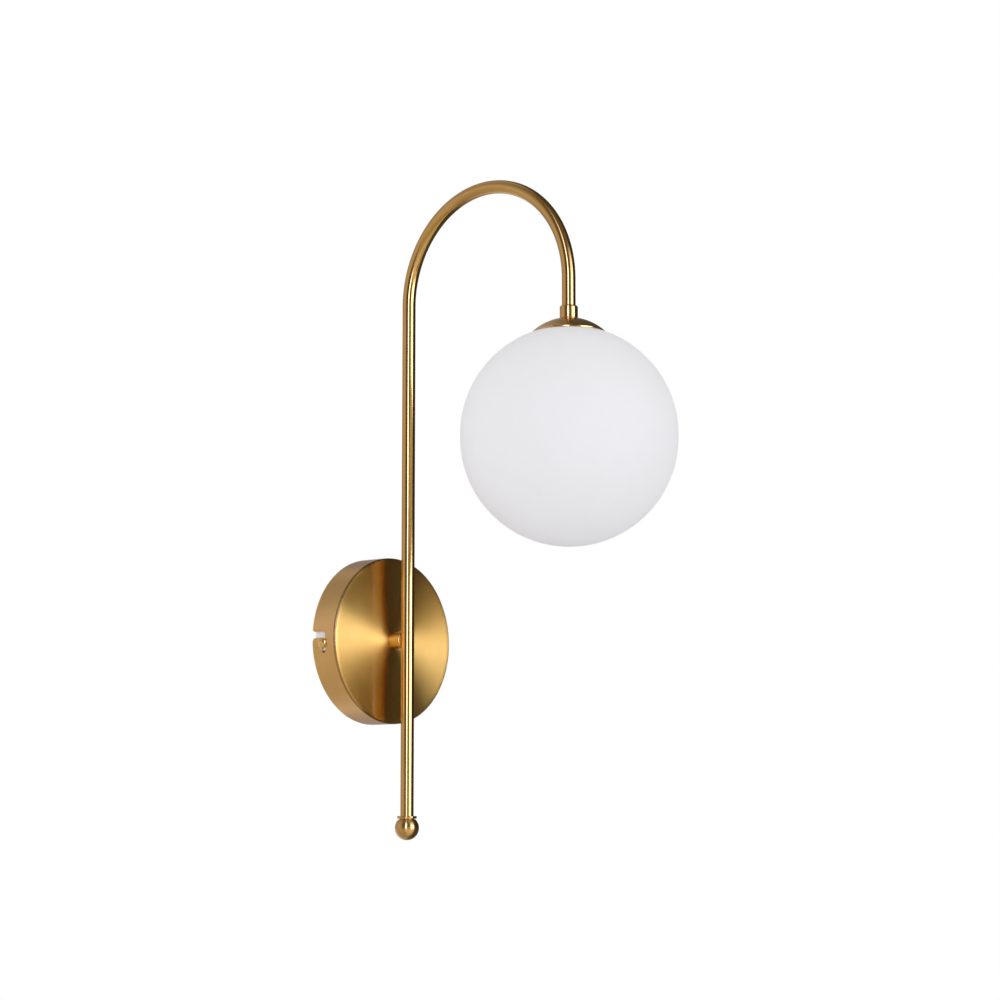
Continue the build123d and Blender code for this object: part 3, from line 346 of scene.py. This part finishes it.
def turned_brass(name, axis, centre, tone, roughness, stretch, edge=None):
    """Satin brass finished on a lathe, so its lines run round the axis.

    stretch is how far the lines draw out a reflection. edge is the depth and the radius at which a
    polished edge starts, painted darker there as painted shade; the face in front of it has its
    own tone.
    """
    material, tree, shader = start_material(name)
    radius, height, around = turned_about(tree, axis, centre)
    lines = brushed(tree, calc(tree, "ADD", radius, height), around)
    colour = aged(tree, tone)
    rough = by_lines(tree, lines, roughness - 0.03, roughness + 0.03)
    grain = bump(tree, lines["Height"], 0.03, LINE_DEPTH)
    if edge:
        edge_depth, edge_r = edge
        shoulder = span(tree, radius, edge_r - SHOULDER_W, edge_r + EDGE_IN, 0.0, 1.0)
        fall = calc(tree, "SUBTRACT", 1.0, calc(tree, "POWER", shoulder, 2.0))
        feed(tree, grain.node, Normal=bump(tree, fall, 1.0, SHOULDER_FALL))
        forward = span(tree, height, -edge_depth, -edge_depth - EDGE_FADE, 0.0, 1.0)
        outward = span(tree, radius, edge_r, edge_r + EDGE_FADE, 0.0, 1.0)
        on_shaded_edge = calc(tree, "MULTIPLY", forward, outward)
        colour = mix(tree, "RGBA", forward, colour, aged(tree, FACE))
        # Painted shade: the polished edge gets a dark tone and a smoother finish
        colour = mix(tree, "RGBA", on_shaded_edge, colour, EDGE_SHADE_TONE)
        rough = mix(tree, "FLOAT", on_shaded_edge, rough, EDGE_ROUGHNESS)
    tangent = put(tree, "Tangent", {"direction_type": "RADIAL", "axis": axis}).outputs[0]
    feed(tree, shader, Base_Color=colour, Roughness=rough, Metallic=1.0, Normal=grain)
    feed(tree, shader, Anisotropic=stretch, Anisotropic_Rotation=0.25, Tangent=tangent)
    feed(tree, shader, Coat_Weight=0.5, Coat_Roughness=LACQUER_ROUGHNESS)
    return material


def arm_brass():
    """Satin brass of the bent tube: its lines run round the tube, wherever it bends."""
    material, tree, shader = start_material("arm_brass")
    parts = axes(tree, place_on(tree))
    from_arch = calc(tree, "SUBTRACT", parts[1], -ARM_SETBACK - ARCH_R)
    over_arch = calc(tree, "SUBTRACT", parts[2], ARCH_Z)
    bent = calc(tree, "GREATER_THAN", over_arch, 0.0)
    under_arch = calc(tree, "MULTIPLY", over_arch, -1.0)
    arch_way = put(tree, "CombineXYZ", Y=under_arch, Z=from_arch).outputs[0]
    way = mix(tree, "VECTOR", bent, (0.0, 0.0, 1.0), arch_way)
    arch_run = calc(tree, "MULTIPLY", calc(tree, "ARCTAN2", over_arch, from_arch), ARCH_R)
    lines = brushed(tree, mix(tree, "FLOAT", bent, parts[2], arch_run), parts[0])
    feed(tree, shader, Base_Color=aged(tree, DEEP), Metallic=1.0)
    feed(tree, shader, Roughness=by_lines(tree, lines, 0.12, 0.15), Anisotropic=0.8, Tangent=way)
    feed(tree, shader, Coat_Weight=0.25, Coat_Roughness=LACQUER_ROUGHNESS)
    feed(tree, shader, Normal=bump(tree, lines["Height"], 0.01, LINE_DEPTH))
    return material


def bright_brass():
    """Yellow brass of small turned fittings."""
    material, tree, shader = start_material("bright_brass")
    grain = grained(tree, 4000.0)
    feed(tree, shader, Base_Color=aged(tree, YELLOW), Metallic=1.0)
    feed(tree, shader, Roughness=by_specks(tree, grain, 0.16, 0.26))
    feed(tree, shader, Normal=bump(tree, grain["Height"], 0.08, LINE_DEPTH))
    return material


def plated_steel(name, bright, dull, smooth, worn, metal):
    """Plated steel with a faint cloudy sheen."""
    material, tree, shader = start_material(name)
    grain = grained(tree, 3200.0)
    colour = mix(tree, "RGBA", grain["Speck"], bright, dull)
    feed(tree, shader, Base_Color=colour, Metallic=metal)
    feed(tree, shader, Roughness=by_specks(tree, grain, smooth, worn))
    feed(tree, shader, Normal=bump(tree, grain["Height"], 0.10, GRAIN_DEPTH))
    return material


def opal_glass():
    """Satin opal glass: milky through and through, with no sharp gloss."""
    material, tree, shader = start_material("opal_glass")
    grain = grained(tree, 1500.0)
    milk, haze = rgb(0.855, 0.848, 0.862), rgb(0.846, 0.838, 0.850)
    feed(tree, shader, Base_Color=mix(tree, "RGBA", grain["Speck"], milk, haze))
    feed(tree, shader, Roughness=by_specks(tree, grain, 0.58, 0.64), Specular_IOR_Level=0.2)
    feed(tree, shader, Normal=bump(tree, grain["Height"], 0.02, GRAIN_DEPTH))
    feed(tree, shader, Subsurface_Weight=0.25, Subsurface_Scale=4.0 * MM)
    feed(tree, shader, Subsurface_Radius=(1.0, 1.0, 1.0))
    return material


def moulded(name, light, shade, roughness, tooth=0.12, sheen=0.5, second=None):
    """Moulded plastic, rubber or fired ceramic, with a fine tooth.

    second, if given, is a function that makes a mask on the tree, and the colour to put there.
    """
    material, tree, shader = start_material(name)
    grain = grained(tree, 2200.0)
    colour = mix(tree, "RGBA", grain["Speck"], light, shade)
    if second:
        make_mask, other = second
        colour = mix(tree, "RGBA", make_mask(tree), colour, other)
    feed(tree, shader, Base_Color=colour, Specular_IOR_Level=sheen)
    feed(tree, shader, Roughness=by_specks(tree, grain, roughness - 0.05, roughness + 0.05))
    feed(tree, shader, Normal=bump(tree, grain["Height"], tooth, TOOTH_DEPTH))
    return material


def earth_stripe(tree):
    """The yellow stripe that winds round the green wire."""
    slanted = {"bands_direction": "DIAGONAL"}
    bands = put(tree, "TexWave", slanted, Vector=place_on(tree), Scale=60.0).outputs[1]
    return span(tree, bands, 0.50, 0.56, 0.0, 1.0)


def chip_faces(tree):
    """Where the board's light chips stand proud of it."""
    from_board = calc(tree, "ADD", axes(tree, place_on(tree))[1], HEAD_REACH)
    return calc(tree, "GREATER_THAN", calc(tree, "ABSOLUTE", from_board), CHIP_OUT)


WALL_AXIS = (0.0, 0.0, 0.0)
ARM_AXIS = (0.0, -ARM_SETBACK, 0.0)
HEAD_AXIS = (0.0, -HEAD_REACH, 0.0)
CANOPY_EDGE = (CANOPY_DEPTH - EDGE_BACK, CANOPY_R - EDGE_IN)

canopy_brass = turned_brass(
    "canopy_brass", "Y", WALL_AXIS, PALE, roughness=0.37, stretch=0.95, edge=CANOPY_EDGE
)
coupling_brass = turned_brass("coupling_brass", "Y", WALL_AXIS, DEEP, roughness=0.22, stretch=0.5)
dome_brass = turned_brass("dome_brass", "Z", HEAD_AXIS, PALE, roughness=0.24, stretch=0.6)
collar_brass = turned_brass("collar_brass", "Z", HEAD_AXIS, DEEP, roughness=0.20, stretch=0.6)
finial_brass = turned_brass("finial_brass", "Z", ARM_AXIS, DEEP, roughness=0.27, stretch=0.85)
tube_brass = arm_brass()
screw_brass = bright_brass()
zinc = plated_steel(
    "zinc_steel",
    rgb(0.95, 0.94, 0.95),
    rgb(0.88, 0.87, 0.88),
    smooth=0.35,
    worn=0.50,
    metal=0.15,
)
steel = plated_steel(
    "plain_steel",
    rgb(0.70, 0.69, 0.67),
    rgb(0.58, 0.57, 0.55),
    smooth=0.22,
    worn=0.34,
    metal=1.0,
)
opal = opal_glass()
silicone = moulded("soft_seal", rgb(0.80, 0.79, 0.76), rgb(0.75, 0.74, 0.71), 0.62, sheen=0.35)
white_plastic = moulded("white_plastic", rgb(0.84, 0.84, 0.82), rgb(0.79, 0.79, 0.77), 0.42)
ceramic = moulded("ceramic", rgb(0.86, 0.85, 0.80), rgb(0.80, 0.79, 0.74), 0.30, tooth=0.06)
frosted = moulded("frosted_cover", rgb(0.88, 0.88, 0.86), rgb(0.84, 0.84, 0.82), 0.55, tooth=0.05)
nylon = moulded("clear_nylon", rgb(0.80, 0.80, 0.75), rgb(0.74, 0.74, 0.69), 0.38)
brown_pvc = moulded("wire_brown", rgb(0.21, 0.085, 0.040), rgb(0.16, 0.065, 0.030), 0.42)
blue_pvc = moulded("wire_blue", rgb(0.030, 0.120, 0.400), rgb(0.024, 0.095, 0.320), 0.42)
green_pvc = moulded(
    "wire_green",
    rgb(0.060, 0.260, 0.030),
    rgb(0.048, 0.210, 0.024),
    0.42,
    second=(earth_stripe, rgb(0.75, 0.60, 0.05)),
)
led_board = moulded(
    "led_board",
    rgb(0.85, 0.84, 0.78),
    rgb(0.80, 0.79, 0.73),
    0.40,
    second=(chip_faces, rgb(0.80, 0.56, 0.10)),
)

finish = {
    canopy_brass: ["canopy"],
    coupling_brass: ["arm_coupling"],
    collar_brass: ["collar"],
    screw_brass: ["canopy_screws", "tube_plug", "terminal_sleeves"],
    zinc: [
        "wall_bracket",
        "terminal_strap",
        "arm_nipple",
        "arm_lock_washer",
        "arm_nut",
        "head_nipple",
        "head_lock_washer",
        "head_nut",
        "finial_stud",
    ],
    steel: [
        "socket_screws",
        "socket_contacts",
        "terminal_screws",
        "terminal_fixings",
        "earth_lug",
        "earth_washer",
        "earth_screw",
        "bulb_pins",
    ],
    opal: ["globe"],
    white_plastic: ["holder_sleeve", "globe_ring", "nipple_bush", "bulb_base"],
    ceramic: ["socket_body"],
    frosted: ["bulb_envelope"],
    led_board: ["bulb_board"],
    nylon: ["terminal_block"],
    brown_pvc: ["wire_live"],
    blue_pvc: ["wire_neutral"],
    green_pvc: ["wire_earth"],
}
for material, names in finish.items():
    for name in names:
        slots = nodes[name].data.materials
        slots.clear()
        slots.append(material)


# Pieces that stand for plainer CAD nodes, or are added to them
SHARP = math.radians(40)
SAME_POINT = 1e-6


def place_mesh(name, shape, material):
    """An object in the scene made of a bmesh."""
    mesh = bpy.data.meshes.new(name)
    shape.to_mesh(mesh)
    shape.free()
    mesh.materials.append(material)
    piece = bpy.data.objects.new(name, mesh)
    scene.collection.objects.link(piece)
    return piece


def add_piece(name, shape, material, body, stands_for=None):
    """Make a piece of a bmesh, smooth apart from sharp edges, that rides on a body."""
    bmesh.ops.remove_doubles(shape, verts=shape.verts, dist=SAME_POINT)
    bmesh.ops.recalc_face_normals(shape, faces=shape.faces)
    piece = place_mesh(name, shape, material)
    piece.data.polygons.foreach_set("use_smooth", [True] * len(piece.data.polygons))
    piece.data.set_sharp_from_angle(angle=SHARP)
    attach(piece, body)
    if stands_for:
        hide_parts(stands_for)


def skin(shape, rings, closed):
    """Faces between rings of points of one count; closed joins the last ring to the first."""
    rows = [[shape.verts.new(point) for point in ring] for ring in rings]
    pairs = list(zip(rows, rows[1:])) + ([(rows[-1], rows[0])] if closed else [])
    for near, far in pairs:
        for place in range(len(near)):
            shape.faces.new((near[place], near[place - 1], far[place - 1], far[place]))


def rounded(outline, steps=6):
    """Points of a closed outline of (radius, height, rounding), with its corners rounded off."""
    points = []
    for place, (r, z, rounding) in enumerate(outline):
        corner = Vector((r, z))
        if not rounding:
            points.append(corner)
            continue
        before = (Vector(outline[place - 1][:2]) - corner).normalized()
        after = (Vector(outline[(place + 1) % len(outline)][:2]) - corner).normalized()
        half = before.angle(after) / 2
        reach = rounding / math.tan(half)
        middle = corner + (before + after).normalized() * (rounding / math.sin(half))
        start = corner + before * reach - middle
        turn = start.angle_signed(corner + after * reach - middle)
        for step in range(steps + 1):
            angle = -turn * step / steps
            cos, sin = math.cos(angle), math.sin(angle)
            spun = Vector((start.x * cos - start.y * sin, start.x * sin + start.y * cos))
            points.append(middle + spun)
    return points


def round_ends(arc, rounding):
    """Give an arc's first and last point a rounding."""
    for place in (0, -1):
        arc[place] = (*arc[place][:2], rounding)
    return arc


def lathe(points, axis_y, sides=128):
    """Turn a closed outline of (radius, height) points about an upright axis."""
    angles = [math.tau * side / sides for side in range(sides)]
    rings = [[(r * math.cos(a), axis_y + r * math.sin(a), z) for a in angles] for r, z in points]
    shape = bmesh.new()
    skin(shape, rings, closed=True)
    return shape


def sphere_arc(radius, centre_z, r_from, r_to, steps):
    """Outline points over a sphere's upper half between two radii from its axis."""
    first, last = math.asin(r_from / radius), math.asin(r_to / radius)
    angles = [first + (last - first) * step / steps for step in range(steps + 1)]
    return [(radius * math.sin(a), centre_z + radius * math.cos(a), 0) for a in angles]


def make_dome():
    """The spun cap, with a short upright lip over the glass."""
    inner_r = DOME_R - DOME_WALL
    land_in_z = LAND_Z - DOME_WALL
    land_in_r = math.sqrt(inner_r**2 - (land_in_z - DOME_Z) ** 2)
    lip_seat = GLOBE_R + LIP_GAP
    rise = DOME_Z - GLOBE_Z
    seat_height = (rise**2 + lip_seat**2 - inner_r**2) / (2 * rise)
    rim_in_r = math.sqrt(lip_seat**2 - seat_height**2)
    lip_z = GLOBE_Z + math.sqrt(lip_seat**2 - DOME_RIM_R**2)
    outer = round_ends(sphere_arc(DOME_R, DOME_Z, LAND_R, DOME_RIM_R, 24), DOME_ROUND)
    lip = [(DOME_RIM_R, lip_z, LIP_ROUND)]
    inner = sphere_arc(inner_r, DOME_Z, rim_in_r, land_in_r, 20)
    hole = [(DOME_HOLE_R, land_in_z, 0), (DOME_HOLE_R, LAND_Z, HOLE_ROUND)]
    shape = lathe(rounded(outer + lip + inner + hole), -HEAD_REACH)
    add_piece("spun_dome", shape, dome_brass, "fixture", "dome_cap")


def make_gasket():
    """The soft ring between glass and dome, its edges rounded."""
    under = sphere_arc(SEAL_LOW_R, GLOBE_Z, SEAL_IN_R, SEAL_OUT_R, 6)
    over = sphere_arc(SEAL_HIGH_R, GLOBE_Z, SEAL_OUT_R, SEAL_IN_R, 6)
    outline = round_ends(under, SEAL_ROUND) + round_ends(over, SEAL_ROUND)
    shape = lathe(rounded(outline, 4), -HEAD_REACH)
    add_piece("seal_ring", shape, silicone, "gasket", "globe_gasket")


def make_finial():
    """The ball foot, turned in one with its flange."""
    ball_top_r = math.sqrt(BALL_R**2 - (BALL_TOP_Z - BALL_Z) ** 2)
    start = math.asin(ball_top_r / BALL_R)
    steps = 40
    ball = [(ball_top_r, BALL_TOP_Z, GROOVE_ROUND)]
    for step in range(1, steps + 1):
        angle = start + (math.pi - start) * step / steps
        ball.append((max(BALL_R * math.sin(angle), 0.0), BALL_Z + BALL_R * math.cos(angle), 0))
    outline = [
        (0.0, BORE_FOOT_Z, 0),
        (BORE_R, BORE_FOOT_Z, 0),
        (BORE_R, TUBE_FOOT_Z, BORE_ROUND),
        (FLANGE_TOP_R, TUBE_FOOT_Z, FLANGE_TOP_ROUND),
        (FLANGE_FOOT_R, FLANGE_FOOT_Z, FLANGE_FOOT_ROUND),
        (GROOVE_R, FLANGE_FOOT_Z, GROOVE_ROUND),
        (GROOVE_R, BALL_TOP_Z, GROOVE_ROUND),
    ]
    shape = lathe(rounded(outline + ball, 5), -ARM_SETBACK, 96)
    add_piece("ball_foot", shape, finial_brass, "fixture", "finial")


def make_tube():
    """The bent tube: up from the finial, over in a half circle and down to the collar."""
    arch_steps, sides = 120, 64
    route = [(-ARM_SETBACK, TUBE_FOOT_Z, 0.0)]
    for step in range(arch_steps + 1):
        angle = math.pi * step / arch_steps
        along_y = -ARM_SETBACK - ARCH_R + ARCH_R * math.cos(angle)
        route.append((along_y, ARCH_Z + ARCH_R * math.sin(angle), angle))
    route.append((-HEAD_REACH, TUBE_END_Z, math.pi))

    def ring(y, z, angle, radius):
        points = []
        for side in range(sides):
            a = math.tau * side / sides
            x, out = radius * math.sin(a), radius * math.cos(a)
            points.append((x, y + out * math.cos(angle), z + out * math.sin(angle)))
        return points

    shape = bmesh.new()
    outside = [ring(*stop, TUBE_R) for stop in route]
    inside = [ring(*stop, TUBE_R - TUBE_WALL) for stop in reversed(route)]
    skin(shape, outside + inside, closed=True)
    add_piece("bent_tube", shape, tube_brass, "fixture", "arm_tube")


# A thread's foot lies this deep in its rod. Half widths at foot and crest are shares of the pitch,
# and at both ends the thread fades over this share of its length.
THREAD_SUNK = 0.05 * MM
THREAD_FOOT = 0.40
THREAD_CREST = 0.08
THREAD_FADE = 1 / 8
STEPS_PER_TURN = 36


def thread(name, start, way, length, radius, pitch, height, material, body):
    """A right-handed screw thread that winds along a rod from a point."""
    way = Vector(way)
    side = way.orthogonal().normalized()
    other = way.cross(side)
    turns = length / pitch
    steps = int(turns * STEPS_PER_TURN)
    rings = []
    for step in range(steps + 1):
        share = step / steps
        fade = min(1.0, share / THREAD_FADE, (1 - share) / THREAD_FADE)
        angle = math.tau * turns * share
        out = side * math.cos(angle) + other * math.sin(angle)
        middle = Vector(start) + way * (length * share)
        sunk, crest = radius - THREAD_SUNK, radius + height * fade
        foot, flat = THREAD_FOOT * pitch * fade, THREAD_CREST * pitch * fade
        profile = ((sunk, -foot), (crest, -flat), (crest, flat), (sunk, foot))
        rings.append([middle + out * r + way * z for r, z in profile])
    shape = bmesh.new()
    skin(shape, rings, closed=False)
    for ring in (shape.verts[:4], shape.verts[-4:]):
        shape.faces.new(ring)
    add_piece(name, shape, material, body)


make_dome()
make_gasket()
make_finial()
make_tube()
thread(
    "sleeve_thread",
    start=(0, -HEAD_REACH, 199.0 * MM),
    way=(0, 0, 1),
    length=12.0 * MM,
    radius=13.2 * MM,
    pitch=3.0 * MM,
    height=0.3 * MM,
    material=white_plastic,
    body="fixture",
)
thread(
    "nipple_thread",
    start=(0, -16.2 * MM, 0),
    way=(0, 1, 0),
    length=1.6 * MM,
    radius=3.9 * MM,
    pitch=0.75 * MM,
    height=0.2 * MM,
    material=zinc,
    body="fixture",
)
for side, label in ((-1, "left"), (1, "right")):
    thread(
        label + "_screw_thread",
        start=(side * 57.6 * MM, -11.0 * MM, side * 3.7 * MM),
        way=(-side, 0, 0),
        length=5.2 * MM,
        radius=2.0 * MM,
        pitch=0.7 * MM,
        height=0.15 * MM,
        material=screw_brass,
        body="bracket",
    )


# Studio: a white world, a pale floor, soft lamps, and a tent of light and dark panels, which shows
# only in reflections
AMBIENT = 0.82
STUDIO_MIDDLE = Vector((0.0, -0.10, 0.09))
FLOOR_R = 3.0
FLOOR_PLACE = (0.0, -0.1, -0.75)
TENT_R = 2.6
GLOW_MOST = 7.0

# Heights at which the tent's rows of panels meet, in tent radii over its middle. In front, round
# an azimuth in radians, the overhead panels come further down.
LEVEL_FADE = (-0.25, 0.02)
OVERHEAD_FADE = (0.30, 0.95)
FRONT_OVERHEAD_FADE = (0.10, 0.66)
FRONT_AZIMUTH = 0.14
FRONT_FADE = (0.40, 0.55)
# The tent's bottom is dimmer
DIM_FADE = (-1.0, -0.45)
DIM_SHARE = 0.72

# The panels by azimuth in degrees, as the lamp sees them, with their brightness and tint: level
# with the lamp, overhead and underfoot
DARK, WARM, TAN = (1.0, 0.80, 0.80), (1.0, 0.84, 0.58), (1.0, 0.90, 0.96)
COOL, ICY = (0.94, 1.0, 1.45), (0.94, 1.04, 2.05)
LEVEL_PANELS = (
    (-180, 0.40, TAN),
    (-160, 0.62, TAN),
    (-136, 0.74, TAN),
    (-104, 0.66, TAN),
    (-99, 0.13, DARK),
    (-64, 0.13, DARK),
    (-62, 5.60, ICY),
    (-51, 5.60, ICY),
    (-48, 0.18, WARM),
    (-12, 0.20, WARM),
    (-8, 5.80, COOL),
    (24, 5.80, COOL),
    (30, 0.05, DARK),
    (118, 0.05, DARK),
    (132, 0.45, TAN),
    (155, 0.55, TAN),
    (180, 0.40, TAN),
)
OVERHEAD_PANELS = (
    (-180, 0.56, TAN),
    (-155, 0.40, TAN),
    (-130, 0.25, TAN),
    (-95, 0.22, WARM),
    (-20, 0.18, WARM),
    (25, 0.20, WARM),
    (40, 0.08, WARM),
    (130, 0.10, TAN),
    (145, 0.15, TAN),
    (162, 0.52, TAN),
    (180, 0.56, TAN),
)
UNDERFOOT_PANELS = (
    (-180, 0.76, TAN),
    (-165, 0.64, TAN),
    (-123, 0.57, TAN),
    (-107, 0.74, TAN),
    (-97, 0.64, WARM),
    (-66, 0.58, WARM),
    (-45, 0.95, TAN),
    (-13, 1.15, TAN),
    (6, 0.90, TAN),
    (24, 0.40, WARM),
    (32, 0.11, WARM),
    (110, 0.12, WARM),
    (142, 0.62, TAN),
    (168, 1.00, TAN),
    (180, 0.76, TAN),
)


def white_world():
    world = bpy.data.worlds.new("white_world")
    scene.world = world
    world.use_nodes = True
    tree = world.node_tree
    seen = put(tree, "LightPath").outputs
    direct = calc(tree, "MAXIMUM", seen["Is Camera Ray"], seen["Is Glossy Ray"])
    direct = calc(tree, "MAXIMUM", direct, seen["Is Transmission Ray"])
    strength = span(tree, direct, 0.0, 1.0, AMBIENT, 1.0)
    feed(tree, tree.nodes["Background"], Color=rgb(1.0, 1.0, 1.0), Strength=strength)


def panel_ramp(tree, around, panels):
    """Colours of a row of panels, by the share of a full turn."""
    ramp = put(tree, "ValToRGB", Fac=around)
    stops = ramp.color_ramp.elements
    while len(stops) < len(panels):
        stops.new(0.5)
    for stop, (angle, glow, tint) in zip(stops, panels):
        stop.position = (angle + 180) / 360
        stop.color = rgb(*[glow / GLOW_MOST * part for part in tint])
    return ramp.outputs[0]


def panel_paint():
    material, tree, shader = start_material("panel_paint")
    tree.nodes.remove(shader)
    parts = axes(tree, place_on(tree))
    azimuth = calc(tree, "ARCTAN2", parts[0], calc(tree, "MULTIPLY", parts[1], -1.0))
    around = span(tree, azimuth, -math.pi, math.pi, 0.0, 1.0)
    rise = calc(tree, "DIVIDE", parts[2], TENT_R)
    level = span(tree, rise, *LEVEL_FADE, 0.0, 1.0, "SMOOTHSTEP")
    from_front = calc(tree, "ABSOLUTE", calc(tree, "SUBTRACT", azimuth, FRONT_AZIMUTH))
    front = span(tree, from_front, *FRONT_FADE, 1.0, 0.0)
    fades = zip(OVERHEAD_FADE, FRONT_OVERHEAD_FADE)
    start, end = [span(tree, front, 0.0, 1.0, usual, in_front) for usual, in_front in fades]
    overhead = span(tree, rise, start, end, 0.0, 1.0)
    glow = panel_ramp(tree, around, LEVEL_PANELS)
    glow = mix(tree, "RGBA", level, panel_ramp(tree, around, UNDERFOOT_PANELS), glow)
    glow = mix(tree, "RGBA", overhead, glow, panel_ramp(tree, around, OVERHEAD_PANELS))
    strength = span(tree, rise, *DIM_FADE, DIM_SHARE * GLOW_MOST, GLOW_MOST)
    light = put(tree, "Emission", Color=glow, Strength=strength).outputs[0]
    feed(tree, tree.nodes["Material Output"], Surface=light)
    return material


def stage_piece(name, shape, material):
    piece = place_mesh(name, shape, material)
    return piece


def make_tent():
    shape = bmesh.new()
    bmesh.ops.create_uvsphere(shape, u_segments=96, v_segments=48, radius=TENT_R)
    tent = stage_piece("tent", shape, panel_paint())
    tent.location = STUDIO_MIDDLE
    tent.visible_camera = tent.visible_diffuse = tent.visible_transmission = False
    tent.visible_shadow = tent.visible_volume_scatter = False


def make_floor():
    material, tree, shader = start_material("floor_paint")
    grain = grained(tree, 300.0)
    light, shade = rgb(0.90, 0.90, 0.90), rgb(0.88, 0.88, 0.88)
    feed(tree, shader, Base_Color=mix(tree, "RGBA", grain["Speck"], light, shade), Roughness=0.8)
    shape = bmesh.new()
    bmesh.ops.create_circle(shape, cap_ends=True, segments=128, radius=FLOOR_R)
    floor = stage_piece("floor", shape, material)
    floor.location = FLOOR_PLACE
    floor.visible_glossy = False


def soft_lamp(name, azimuth, elevation, distance, size, power):
    """A round lamp that shines at the studio's middle; its angles are in degrees."""
    data = bpy.data.lights.new(name, "AREA")
    data.shape = "DISK"
    data.size = size
    data.energy = power
    lamp = bpy.data.objects.new(name, data)
    way = way_to(math.radians(azimuth), math.radians(elevation))
    lamp.location = STUDIO_MIDDLE + way * distance
    lamp.rotation_mode = "QUATERNION"
    lamp.rotation_quaternion = way.to_track_quat("Z", "Y")
    lamp.visible_camera = False
    lamp.visible_glossy = False
    scene.collection.objects.link(lamp)


white_world()
make_tent()
make_floor()
soft_lamp("key_lamp", azimuth=15, elevation=5, distance=1.8, size=1.2, power=4.2)
soft_lamp("fill_lamp", azimuth=-80, elevation=5, distance=1.9, size=1.4, power=5)
